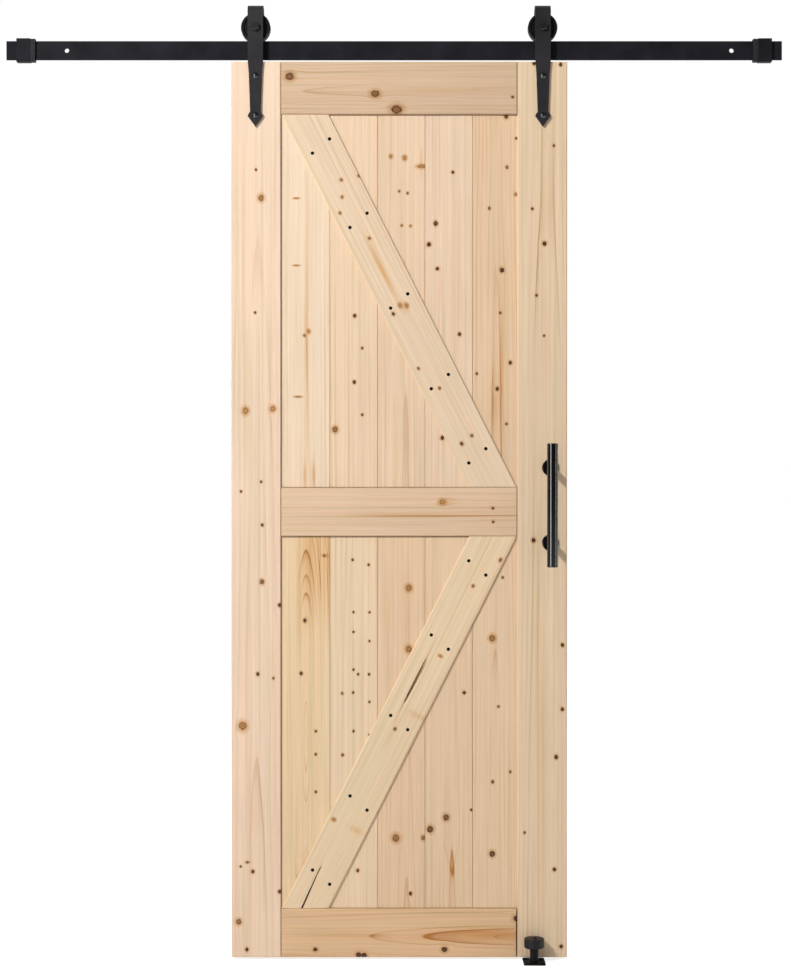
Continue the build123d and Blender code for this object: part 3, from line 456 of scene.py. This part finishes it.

# %% [markdown]
# ## The boards
# Each board has its own material, because no two boards share knots. Its colour is matched to the
# photograph. Its knots and streaks are given in millimetres on the door as the CAD measures it: x to
# the right, z up from the rail. A heart is its place across the board, its depth behind the door's front, and
# where along the board it has that depth. A knot is x, z, half width, length over width, and tone from golden
# to black. A streak is x, z, half width, half length, slope and strength. Grain runs upright, level in the
# rails, and along the leaning braces.
#
# A few entries among the knots are no knots but painted shade. The wide flat one on the bottom rail is the
# dark line of shade in the gap at its right end. The two long thin ones on the lower brace paint shade into
# its drying check and carry its split on as a dark hairline. Patches of painted shade are written as knots
# are and stay near the board's face: the two on the first lower board lie behind that split, so that it looks
# deep.

# %% What the frame shows
UPRIGHT, LEVEL, LEANING_LEFT, LEANING_RIGHT = 0.0, 90.0, 26.8, -26.8

frame_boards = {
    "left_stile": dict(
        grain=UPRIGHT, colour="#EACFB5", heart=(-338, 61, -1100), lean=0.012, ring=8.6, contrast=0.5,
        knots=[
            (-341, -286, 2, 1.2, 0.8), (-329, -353, 5.5, 1.2, 0.25), (-343, -626, 2, 1.2, 0.8),
            (-366, -860, 6, 1.2, 0.05), (-301, -855, 5.5, 1.1, 0.0), (-329, -1029, 2, 1.2, 0.8),
            (-377, -1052, 2, 1.2, 0.8), (-326, -1132, 2.5, 1.2, 0.8), (-327, -1267, 4.2, 1.2, 0.5),
            (-285, -1323, 3, 1.2, 0.95), (-337, -1487, 3, 1.2, 0.85), (-300, -1497, 2, 1.2, 0.6),
            (-373, -1611, 8.2, 1.1, 0.15), (-378, -1946, 2, 1.0, 0.8), (-362, -1936, 3.5, 0.6, 0.5),
            (-349, -1958, 3, 1.2, 0.95), (-285, -2006, 3, 1.2, 1), (-383, -2078, 5.2, 1.1, 0.35),
            (-363, -2144, 3, 1.2, 0.95),
        ],
        streaks=[(-305, -700, 5, 500, 0, 0.2), (-360, -1750, 8, 300, 0, 0.2)],
    ),
    "right_stile": dict(
        grain=UPRIGHT, colour="#E1C8A9", heart=(352, 41, -1300), lean=0.012, ring=9.0, contrast=0.5,
        knots=[
            (321, -33, 3, 1.2, 0.95), (384, -36, 3, 1.2, 0.95), (368, -229, 2, 1.2, 0.8),
            (317, -379, 2.2, 1.2, 0.9), (346, -462, 3.9, 1.1, 0.95), (327, -585, 2, 1.2, 0.8),
            (345, -681, 2, 1.2, 0.8), (320, -1168, 3.7, 1.1, 1), (389, -1418, 3, 1.2, 0.95),
            (389, -1571, 3, 1.2, 0.85), (374, -1685, 3.4, 1.2, 0.95), (299, -1865, 2, 1.2, 0.7),
            (370, -1953, 3, 1.2, 0.95), (386, -2137, 3, 1.2, 0.95),
        ],
        streaks=[
            (331, -1680, 1.6, 400, 0, 0.7), (343, -1700, 2, 380, 0, 0.55), (338, -1690, 7, 420, 0, 0.2),
            (330, -700, 6, 350, 0, 0.15),
        ],
    ),
    "top_rail": dict(
        grain=LEVEL, colour="#CFB294", heart=(-97, 19, 0), lean=0.02, ring=8.0, contrast=0.6,
        knots=[
            (-261, -64, 7.6, 1.2, 0.6), (-57, -105, 6.6, 1.3, 0.55), (-6, -143, 8.8, 1.3, 0.6),
            (270, -113, 2, 1.3, 0.7),
        ],
        streaks=[(90, -98, 8, 120, 0, 0.4)],
    ),
    "middle_rail": dict(
        grain=LEVEL, colour="#DDBFA0", heart=(-1150, 35, 0), lean=0.02, ring=8.4, contrast=0.45,
        knots=[(103, -1077, 5, 1.3, 0.0), (223, -1092, 2, 1.2, 0.8), (224, -1124, 2, 1.2, 0.8)],
        streaks=[(9, -1108, 5, 170, 0, 0.75), (115, -1077, 9, 22, 0, 0.4), (250, -1095, 50, 110, 0, 0.15)],
    ),
    "bottom_rail": dict(
        grain=LEVEL, colour="#DEBA93", heart=(-2112, 23, 0), lean=0.06, ring=9.5, contrast=0.55,
        knots=[
            (-200, -2144, 3.4, 1.2, 0.95), (-97, -2157, 5, 1.1, 0.95), (-84, -2158, 5, 1.1, 0.95),
            # the last entry is painted shade: the dark line in the gap at the rail's right end
            (108, -2144, 5, 1.1, 0.85), (281, -2070, 6, 1.2, 0.95), (280, -2106, 54, 0.012, 1.0),
        ],
        streaks=[(-121, -2111, 4, 130, 0, 0.55), (215, -2110, 15, 130, 0, 1.3)],
    ),
}
print(len(frame_boards), "frame pieces")

# %% What the upper panel shows
upper_boards = {
    "upper_board_1": dict(
        grain=UPRIGHT, colour="#EAD2B7", heart=(-224, 25, -650), lean=0.02, ring=8.4, contrast=0.5,
        knots=[
            (-245, -353, 6, 0.2, 0.0), (-245, -513, 6, 0.2, 0.0), (-216, -670, 3, 1.3, 0.0),
            (-226, -680, 2, 1.3, 0.5), (-241, -826, 7, 0.2, 0.05),
        ],
        streaks=[(-220, -640, 4, 330, 0, 0.85), (-225, -1015, 4, 35, 0, 1.1), (-205, -1012, 4, 32, 0, 1.0)],
    ),
    "upper_board_2": dict(
        grain=UPRIGHT, colour="#E9CDAE", heart=(-200, 45, -600), lean=0.008, ring=9.0, contrast=0.4,
        knots=[
            (-106, -633, 3, 1.2, 1), (-88, -710, 2, 1.2, 0.8), (-107, -791, 3, 1.2, 1),
            (-88, -869, 2, 1.2, 0.8), (-153, -904, 5.6, 1.1, 0.4),
        ],
        streaks=[(-120, -760, 4, 250, 0, 0.2)],
    ),
    "upper_board_3": dict(
        grain=UPRIGHT, colour="#E4C8AA", heart=(14, 31, -500), lean=0.015, ring=8.6, contrast=0.4,
        knots=[
            (-20, -253, 3, 1.2, 0.1), (13, -257, 4, 1.2, 0.05), (55, -277, 10, 0.36, 0.1),
            (0, -336, 2, 1.2, 0.5), (20, -341, 2, 1.2, 0.5), (6, -418, 2, 1.2, 0.4), (27, -419, 2, 1.2, 0.2),
        ],
        streaks=[(52, -262, 3, 30, 0, 0.7)],
    ),
    "upper_board_4": dict(
        grain=UPRIGHT, colour="#E6CAAF", heart=(205, 50, -600), lean=0.006, ring=8.8, contrast=0.4,
        knots=[
            (71, -463, 3.9, 1.1, 1), (91, -521, 3, 1.1, 0.95), (128, -291, 2.5, 1.1, 0.95),
            (87, -413, 4, 1.2, 0.75), (144, -677, 3, 1.2, 0.95), (103, -924, 3.5, 1.2, 0.95),
        ],
        streaks=[(100, -560, 4, 60, 0, 0.25)],
    ),
    "upper_board_5": dict(
        grain=UPRIGHT, colour="#E1C2A1", heart=(232, 23, -600), lean=0.018, ring=8.0, contrast=0.5,
        knots=[
            (255, -158, 3.8, 1.2, 0.75), (279, -210, 2, 1.2, 0.8), (257, -279, 2.5, 1.3, 0.5),
            (215, -377, 2.2, 1.2, 0.6), (278, -344, 2.5, 1.3, 0.2), (245, -524, 4, 1.2, 0.85),
            (241, -626, 2, 1.2, 0.7), (265, -745, 3, 1.2, 0.85), (234, -807, 3, 1.2, 0.85),
            (185, -771, 2, 1.2, 0.7), (256, -891, 2, 1.2, 0.7),
        ],
        streaks=[
            (244, -760, 4, 170, 0, 1.0), (228, -840, 9, 75, 0, 0.7), (183, -200, 1.4, 90, 0, 0.6),
            (191, -195, 1.4, 80, 0, 0.6), (199, -200, 1.6, 100, 0, 0.5), (208, -230, 2, 90, 0, 0.35),
        ],
    ),
    "upper_brace": dict(
        grain=LEANING_LEFT, colour="#E3CAAD", heart=(-285, 35, -560), lean=0.012, ring=8.6, contrast=0.4,
        knots=[
            (-138, -310, 2.5, 1.2, 0.3), (-136, -351, 2.5, 1.2, 0.3), (-141, -389, 2.5, 1.2, 0.3),
            (-96, -301, 2.5, 1.2, 0.3), (-71, -449, 2.5, 1.2, 0.4), (-14, -629, 3, 1.2, 0.75),
            (2, -609, 3.4, 1.3, 0.0), (18, -609, 3.4, 1.3, 0.05), (46, -759, 2.5, 1.2, 0.5),
            (96, -806, 2.5, 1.2, 0.5), (149, -938, 3, 1.2, 0.75), (173, -919, 2.5, 1.2, 0.6),
        ],
        streaks=[(-40, -525, 6, 80, 0, 1.2), (10, -612, 10, 14, 0, 0.6)],
    ),
}
print(len(upper_boards), "upper boards and brace")

# %% What the lower panel shows
lower_boards = {
    "lower_board_1": dict(
        grain=UPRIGHT, colour="#E8CCA6", heart=(-222, 22, -1420), lean=0.075, ring=4.6, contrast=0.5,
        knots=[
            (-178, -1205, 4, 0.6, 0.3), (-225, -1360, 3, 1.3, 0.85), (-234, -1486, 3, 1.2, 0.85),
            (-199, -1624, 2, 1.2, 0.8), (-199, -1679, 2, 1.2, 0.8), (-199, -1769, 2, 1.2, 0.8),
        ],
        # painted shade: two dark patches behind the lower brace's split, so that the split looks deep
        painted_shades=[(-225, -2032, 17, 1.7, 1), (-207, -1985, 16, 2.2, 1)],
        streaks=[
            (-215, -1220, 22, 130, 0, 0.9), (-189, -1215, 4, 120, 0, 0.9), (-179, -1230, 3, 130, 0, 1.1),
            (-169, -1225, 4, 130, 0, 1.2), (-240, -1330, 5, 110, 0, 0.5),
        ],
    ),
    "lower_board_2": dict(
        grain=UPRIGHT, colour="#E8CEAE", heart=(-90, 43, -1500), lean=0.01, ring=8.8, contrast=0.4,
        knots=[
            (-109, -1340, 1.8, 1.2, 0.8), (-71, -1340, 1.8, 1.2, 0.8), (-109, -1387, 1.8, 1.2, 0.8),
            (-71, -1409, 1.8, 1.2, 0.8), (-109, -1477, 2, 1.2, 0.85), (-98, -1488, 2, 1.2, 0.85),
            (-72, -1488, 2, 1.2, 0.85), (-110, -1532, 2, 1.2, 0.8), (-71, -1554, 1.8, 1.2, 0.8),
            (-109, -1624, 2, 1.2, 0.8), (-71, -1633, 1.8, 1.2, 0.8), (-136, -1534, 2.2, 1.2, 0.5),
            (-135, -1681, 2.5, 1.2, 0.7), (-111, -1215, 2, 1.2, 0.8), (-73, -1227, 2, 1.2, 0.8),
            (-99, -1957, 2.7, 1.2, 0.8),
        ],
        streaks=[(-90, -1450, 5, 250, 0, 0.2)],
    ),
    "lower_board_3": dict(
        grain=UPRIGHT, colour="#E2C3A2", heart=(16, 33, -1350), lean=0.014, ring=8.4, contrast=0.4,
        knots=[
            (23, -1282, 6.2, 1.1, 0.2), (23, -1428, 6, 1.1, 0.2), (-8, -1879, 7.2, 1.1, 0.35),
            (58, -1879, 4, 1.2, 0.4), (27, -2012, 3, 1.2, 0.95),
        ],
        streaks=[(20, -1350, 8, 120, 0, 0.3)],
    ),
    "lower_board_4": dict(
        grain=UPRIGHT, colour="#E2C5A4", heart=(128, 25, -1800), lean=0.02, ring=8.2, contrast=0.45,
        knots=[
            (155, -1532, 3, 1.1, 0.95), (112, -1830, 5.8, 1.1, 0.65), (74, -1858, 6.2, 1.1, 0.7),
            (172, -1812, 2, 1.2, 0.8),
        ],
        streaks=[
            (117, -1930, 2.2, 32, -0.25, 0.5), (134, -1930, 2.2, 32, 0.2, 0.45), (128, -1960, 3, 9, 0, 0.5),
            (126, -1925, 8, 30, 0, 0.15),
        ],
    ),
    "lower_board_5": dict(
        grain=UPRIGHT, colour="#E3C6A5", heart=(226, 31, -1600), lean=0.014, ring=8.4, contrast=0.45,
        knots=[
            (222, -1402, 6.2, 1.1, 0.3), (237, -1565, 2, 1.2, 0.7), (223, -1745, 2.5, 1.2, 0.8),
            (265, -1721, 2, 1.2, 0.7), (222, -1917, 5.6, 1.1, 0.75), (247, -1257, 2, 1.2, 0.7),
        ],
        streaks=[(226, -1420, 8, 70, 0, 0.25)],
    ),
    "lower_brace": dict(
        grain=LEANING_RIGHT, colour="#E6CDAB", heart=(-735, 37, -1300), lean=0.012, ring=8.4, contrast=0.4,
        knots=[
            (241, -1215, 2.5, 1.6, 0.5), (176, -1277, 2.5, 1.2, 0.5), (98, -1444, 4, 0.6, 0.0),
            # the last entry here and the one below are painted shade: the drying check darkened, and its
            # split carried on as a dark hairline
            (-10, -1618, 2.5, 1.2, 0.6), (-156, -1834, 4, 0.8, 0.0), (38, -1502, 1.0, 58, 0.75),
            (-192, -1957, 0.5, 22, 0.75),
        ],
        streaks=[(-22, -1633, 4, 50, 0, 0.4), (-102, -1860, 16, 8, 0, 0.7), (40, -1585, 20, 7, 0, 0.65)],
    ),
}
boards = frame_boards | upper_boards | lower_boards
print(len(boards), "boards,", sum(len(b["knots"]) for b in boards.values()), "knots")

# %% [markdown]
# ## Spruce, part six: the boards' materials
# A Mapping node turns the door's coordinates so that the grain runs along one axis, and changes metres to
# millimetres. The same turn is done in Python for the places of the knots. A knot's rim is ragged, so a
# little noise is added to its distance. Then the chain of knots and streaks feeds the figure.


# %% From the door to a board
def on_board(x, z, angle):
    """A place on the door as across and along a board whose grain leans by an angle."""
    turn = math.radians(angle)
    return x * math.cos(turn) + z * math.sin(turn), z * math.cos(turn) - x * math.sin(turn)


DOOR_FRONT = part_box("left_stile")[0].y / MM
print("the door's front is at y", round(DOOR_FRONT, 1), "mm")

# %% Dress the boards
NO_KNOT_NEAR = 9.0
KNOT_RIM = 0.6
RAGGED_SIZE, RAGGED_SHARE = 5, 0.7
PAINTED_SHADE_DEPTHS = (8, 10)
SEED_STEP = (17.3, 9.1, 5.7)
FIBRE_HEIGHT = 0.3 * MM
FIBRE_BUMP = 0.25
WOOD_SHINE = 0.3


def spruce(name, seed, grain, colour, heart, lean, ring, contrast, knots, streaks, painted_shades=()):
    """Raw planed spruce: pale and nearly matt, with fine lines along it that catch the light."""
    made = bpy.data.materials.new("raw_spruce_" + name)
    made.use_nodes = True
    tree = made.node_tree
    tree.nodes.clear()
    spot = add(tree, "ShaderNodeTexCoord")["Object"]
    turn = (0, math.radians(grain), 0)
    place = add(tree, "ShaderNodeMapping", {"Vector": spot, "Rotation": turn, "Scale": (1 / MM,) * 3})[0]
    parts = add(tree, "ShaderNodeSeparateXYZ", {0: place})
    ragged = add(tree, NOISE, {"Vector": place, "Scale": 1 / RAGGED_SIZE, "Detail": 2.0})[0]
    ragged = {0: ragged, 1: RAGGED_SHARE, 2: -RAGGED_SHARE / 2}
    ragged = add(tree, MATH, ragged, operation="MULTIPLY_ADD")[0]
    state = {"Nearest": NO_KNOT_NEAR, "Nearest tone": 0.0, "Push": 0.0}
    marks = [(knot, ragged) for knot in knots]
    # patches of painted shade, such as those behind a split, fade out below the board's face
    if painted_shades:
        ends, gone = [DOOR_FRONT + depth for depth in PAINTED_SHADE_DEPTHS]
        sunk = {"Value": parts["Y"], "From Min": ends, "From Max": gone, "To Max": NO_KNOT_NEAR}
        sunk = add(tree, RANGE, sunk)[0]
        sunk = add(tree, MATH, {0: ragged, 1: sunk}, operation="ADD")[0]
        marks += [(painted_patch, sunk) for painted_patch in painted_shades]
    for (x, z, half, stretch, tone), edge in marks:
        across, along = on_board(x, z, grain)
        inputs = {"Across": parts["X"], "Along": parts["Z"], "Ragged": edge, "Knot across": across}
        inputs |= {"Knot along": along, "Half width": half + KNOT_RIM, "Tone": tone}
        inputs |= {"Half length": half * stretch + KNOT_RIM}
        outputs = add(tree, "ShaderNodeGroup", inputs | state, node_tree=knot_tree)
        state = {socket: outputs[socket] for socket in state}
    resin = 0.0
    for x, z, half, reach, slope, strength in streaks:
        across, along = on_board(x, z, grain)
        inputs = {"Across": parts["X"], "Along": parts["Z"], "Streak across": across, "Streak along": along}
        inputs |= {"Half width": half, "Half length": reach, "Slope": slope, "Strength": strength}
        resin = add(tree, "ShaderNodeGroup", inputs | {"Resin": resin}, node_tree=streak_tree)[0]
    across, depth, along = heart
    inputs = state | {"Place": place, "Heart": (across, DOOR_FRONT + depth, along)}
    inputs |= {"Seed": [seed * step for step in SEED_STEP]}
    inputs |= {"Board colour": linear(colour), "Lean": lean, "Ring width": ring, "Contrast": contrast}
    wood = add(tree, "ShaderNodeGroup", inputs | {"Resin": resin}, node_tree=figure)
    bump = {"Height": wood["Height"], "Strength": FIBRE_BUMP, "Distance": FIBRE_HEIGHT}
    bump = add(tree, "ShaderNodeBump", bump)[0]
    surface = {"Base Color": wood["Colour"], "Roughness": wood["Roughness"], "Normal": bump}
    surface |= {"Specular IOR Level": WOOD_SHINE}
    shader = add(tree, "ShaderNodeBsdfPrincipled", surface)[0]
    add(tree, "ShaderNodeOutputMaterial", {"Surface": shader})
    return made


for seed, (name, board) in enumerate(boards.items(), start=1):
    pieces[name].material_slots[0].material = spruce(name, seed, **board)
print("dressed", len(boards), "boards")

# %% [markdown]
# ## Black coated steel
# The rail, the stops, the hangers and the floor guide are steel with a baked satin powder coat. Powder melts
# into a skin with a faint orange peel, so light spreads in it, and the black is never quite even. There are
# three blacks: the rail and its stops are the dullest, the hangers a softer black that catches more light,
# and the floor guide the deepest, which the screws of the braces wear too. Three small functions start a
# material, close it and put it on pieces.


# %% Powder coat
def fresh(name):
    """An empty material, with the door's own coordinates in millimetres."""
    made = bpy.data.materials.new(name)
    made.use_nodes = True
    made.node_tree.nodes.clear()
    spot = add(made.node_tree, "ShaderNodeTexCoord")["Object"]
    place = add(made.node_tree, "ShaderNodeMapping", {"Vector": spot, "Scale": (1 / MM,) * 3})[0]
    return made, made.node_tree, place


def close(tree, height, depth, surface):
    """Ends a material: a bump of a depth in millimetres, and the shader."""
    bump = add(tree, "ShaderNodeBump", {"Height": height, "Strength": 1.0, "Distance": depth * MM})[0]
    shader = add(tree, "ShaderNodeBsdfPrincipled", surface | {"Normal": bump})[0]
    add(tree, "ShaderNodeOutputMaterial", {"Surface": shader})


def dress(material, *names):
    """Puts a material on pieces of the door."""
    for name in names:
        pieces[name].material_slots[0].material = material
    print(material.name, "on", len(names))


PEEL_SIZE, PEEL_DEPTH, CLOUDS_APART = 1.8, 0.03, 60


def powder_coat(name, darkest, palest, shine):
    """Baked powder: a satin black that is slightly cloudy and slightly pebbled."""
    made, tree, place = fresh(name)
    peel = add(tree, NOISE, {"Vector": place, "Scale": 1 / PEEL_SIZE, "Detail": 2.0})[0]
    even = add(tree, NOISE, {"Vector": place, "Scale": 1 / CLOUDS_APART, "Detail": 3.0})[0]
    black = add(tree, RAMP, {0: even}, stops=((0.3, darkest), (0.7, palest)))[0]
    rough = add(tree, RANGE, {"Value": peel, "To Min": 0.34, "To Max": 0.54})[0]
    close(tree, peel, PEEL_DEPTH, {"Base Color": black, "Roughness": rough, "Specular IOR Level": shine})
    return made


rail_coat = powder_coat("satin_black_powder_coat", "#1A1A1F", "#25242A", 0.04)
strap_coat = powder_coat("soft_black_powder_coat", "#1F1E21", "#2A282B", 0.2)
guide_coat = powder_coat("deep_black_powder_coat", "#09090A", "#100F10", 0.1)
dress(rail_coat, "rail", "left_stop", "right_stop")
dress(strap_coat, "left_hanger", "right_hanger")
dress(guide_coat, "guide_plate", "guide_post", "brace_screws")

# %% [markdown]
# ## Gloss black pull bar
# The pull bar, its posts and its round feet have a smooth baked enamel. It is dark and shiny, so the two
# strip lamps show as bright lines. A faint unevenness in its gloss keeps those lines from looking ruled.

# %% Enamel
FLOW_WIDTH, FLOW_LENGTH, FLOW_DEPTH = 9, 60, 0.02

enamel, tree, place = fresh("gloss_black_enamel")
long_way = (1 / FLOW_WIDTH, 1 / FLOW_WIDTH, 1 / FLOW_LENGTH)
long_way = add(tree, VECTOR, {0: place, 1: long_way}, operation="MULTIPLY")[0]
flow = add(tree, NOISE, {"Vector": long_way, "Scale": 1.0, "Detail": 2.0})[0]
black = add(tree, RAMP, {0: flow}, stops=((0.3, "#030304"), (0.7, "#070606")))[0]
rough = add(tree, RANGE, {"Value": flow, "To Min": 0.09, "To Max": 0.16})[0]
close(tree, flow, FLOW_DEPTH, {"Base Color": black, "Roughness": rough, "Specular IOR Level": 0.4})
dress(enamel, "handle_bar", "handle_posts", "handle_bases")

# %% [markdown]
# ## Blackened bolts
# Bolts, nuts and washers are steel dipped in a hot blackening bath. The skin is so thin that the metal still
# shines through on the domes, and it is a little brown where it is thinnest.

# %% Black oxide
SKIN_SIZE, SPECKS_PER_MM, SPECK_DEPTH = 4, 2.0, 0.01

oxide, tree, place = fresh("black_oxide_steel")
skin = add(tree, NOISE, {"Vector": place, "Scale": 1 / SKIN_SIZE, "Detail": 4.0})[0]
speck = add(tree, NOISE, {"Vector": place, "Scale": SPECKS_PER_MM, "Detail": 2.0})[0]
black = add(tree, RAMP, {0: skin}, stops=((0.3, "#09090A"), (0.55, "#0F0E10"), (0.75, "#191513")))[0]
rough = add(tree, RANGE, {"Value": speck, "To Min": 0.24, "To Max": 0.42})[0]
close(tree, speck, SPECK_DEPTH, {"Base Color": black, "Roughness": rough, "Specular IOR Level": 0.6})
dress(
    oxide, "hanger_bolts", "hanger_nuts", "hanger_washers", "axle_bolts", "axle_nuts", "axle_spacers",
    "axle_washers", "stop_screws", "handle_bolts", "handle_washers", "guide_bolt",
)

# %% [markdown]
# ## Turned nylon wheels
# The wheels and the floor roller are turned from black nylon on a lathe. The tool leaves fine rings, so the
# distance from each piece's own axle is worked out first, then the distance along it. A noise of their sum
# alone makes rings on the faces and on the rims.

# %% Nylon
CUTS_PER_MM, CUT_DEPTH = 1.6, 0.02


def turned_nylon(name, axle, flat):
    """Lathe-turned black nylon: waxy, with fine rings about the axle."""
    made, tree, place = fresh(name)
    out = add(tree, VECTOR, {0: place, 1: axle}, operation="SUBTRACT")[0]
    outward = add(tree, VECTOR, {0: out, 1: flat}, operation="MULTIPLY")[0]
    along = add(tree, VECTOR, {0: out, 1: outward}, operation="SUBTRACT")[0]
    radius = add(tree, VECTOR, {0: outward}, operation="LENGTH")["Value"]
    along = add(tree, VECTOR, {0: along}, operation="LENGTH")["Value"]
    cut = add(tree, MATH, {0: radius, 1: along}, operation="ADD")[0]
    rings = add(tree, NOISE, {"W": cut, "Scale": CUTS_PER_MM, "Detail": 3.0}, noise_dimensions="1D")[0]
    black = add(tree, RAMP, {0: rings}, stops=((0.3, "#080809"), (0.7, "#100F10")))[0]
    rough = add(tree, RANGE, {"Value": rings, "To Min": 0.34, "To Max": 0.46})[0]
    close(tree, rings, CUT_DEPTH, {"Base Color": black, "Roughness": rough, "Specular IOR Level": 0.2})
    return made


for name, flat in (("left_wheel", (1, 0, 1)), ("right_wheel", (1, 0, 1)), ("guide_roller", (1, 1, 0))):
    low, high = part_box(name)
    dress(turned_nylon("black_nylon_" + name, (low + high) / 2 / MM, flat), name)

# %% [markdown]
# ## Rubber, bearings, bush and dowels
# The last pieces are mostly hidden: moulded rubber on the stops, ground steel bearings in the wheels, an oily
# bronze bush in the roller, and beech dowels in the frame. Each still has its own material, since a part may
# be taken apart.

# %% Rubber
BLOOM_SIZE, GRITS_PER_MM, GRIT_DEPTH = 12, 3.0, 0.03

rubber, tree, place = fresh("moulded_black_rubber")
bloom = add(tree, NOISE, {"Vector": place, "Scale": 1 / BLOOM_SIZE, "Detail": 4.0})[0]
grit = add(tree, NOISE, {"Vector": place, "Scale": GRITS_PER_MM, "Detail": 2.0})[0]
black = add(tree, RAMP, {0: bloom}, stops=((0.3, "#141415"), (0.7, "#1F1F20")))[0]
rough = add(tree, RANGE, {"Value": grit, "To Min": 0.7, "To Max": 0.9})[0]
close(tree, grit, GRIT_DEPTH, {"Base Color": black, "Roughness": rough, "Specular IOR Level": 0.3})
dress(rubber, "left_bumper", "right_bumper")

# %% Bearing steel
GRIND_PER_MM, GRIND_DEPTH = (2.0, 0.1, 2.0), 0.004

steel, tree, place = fresh("ground_bearing_steel")
grind = add(tree, VECTOR, {0: place, 1: GRIND_PER_MM}, operation="MULTIPLY")[0]
grind = add(tree, NOISE, {"Vector": grind, "Scale": 1.0, "Detail": 3.0})[0]
grey = add(tree, RAMP, {0: grind}, stops=((0.3, "#B4B5B8"), (0.7, "#CDCED0")))[0]
rough = add(tree, RANGE, {"Value": grind, "To Min": 0.14, "To Max": 0.3})[0]
close(tree, grind, GRIND_DEPTH, {"Base Color": grey, "Roughness": rough, "Metallic": 1.0})
dress(
    steel, "bearing_inner_rings", "left_bearing_ring", "right_bearing_ring", "left_bearing_balls",
    "right_bearing_balls",
)

# %% Bronze
GRAINS_PER_MM, GRAIN_DEPTH = 2.5, 0.02

bronze, tree, place = fresh("sintered_bronze")
grains = add(tree, NOISE, {"Vector": place, "Scale": GRAINS_PER_MM, "Detail": 3.0})[0]
brown = add(tree, RAMP, {0: grains}, stops=((0.35, "#7A5A32"), (0.6, "#A67F4C")))[0]
rough = add(tree, RANGE, {"Value": grains, "To Min": 0.35, "To Max": 0.55})[0]
close(tree, grains, GRAIN_DEPTH, {"Base Color": brown, "Roughness": rough, "Metallic": 1.0})
dress(bronze, "guide_bush")

# %% Beech
FLECKS_PER_MM, FLECK_DEPTH = (0.12, 1.6, 1.6), 0.03

beech, tree, place = fresh("beech_dowel")
flecks = add(tree, VECTOR, {0: place, 1: FLECKS_PER_MM}, operation="MULTIPLY")[0]
flecks = add(tree, NOISE, {"Vector": flecks, "Scale": 1.0, "Detail": 3.0})[0]
brown = add(tree, RAMP, {0: flecks}, stops=((0.3, "#B98F62"), (0.5, "#D2AC80"), (0.7, "#DDBB92")))[0]
rough = add(tree, RANGE, {"Value": flecks, "To Min": 0.5, "To Max": 0.65})[0]
close(tree, flecks, FLECK_DEPTH, {"Base Color": brown, "Roughness": rough, "Specular IOR Level": 0.3})
dress(beech, "frame_dowels")

# %% Finish
low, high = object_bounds()
print("visual box in mm", [round(v / MM) for v in (high - low)])
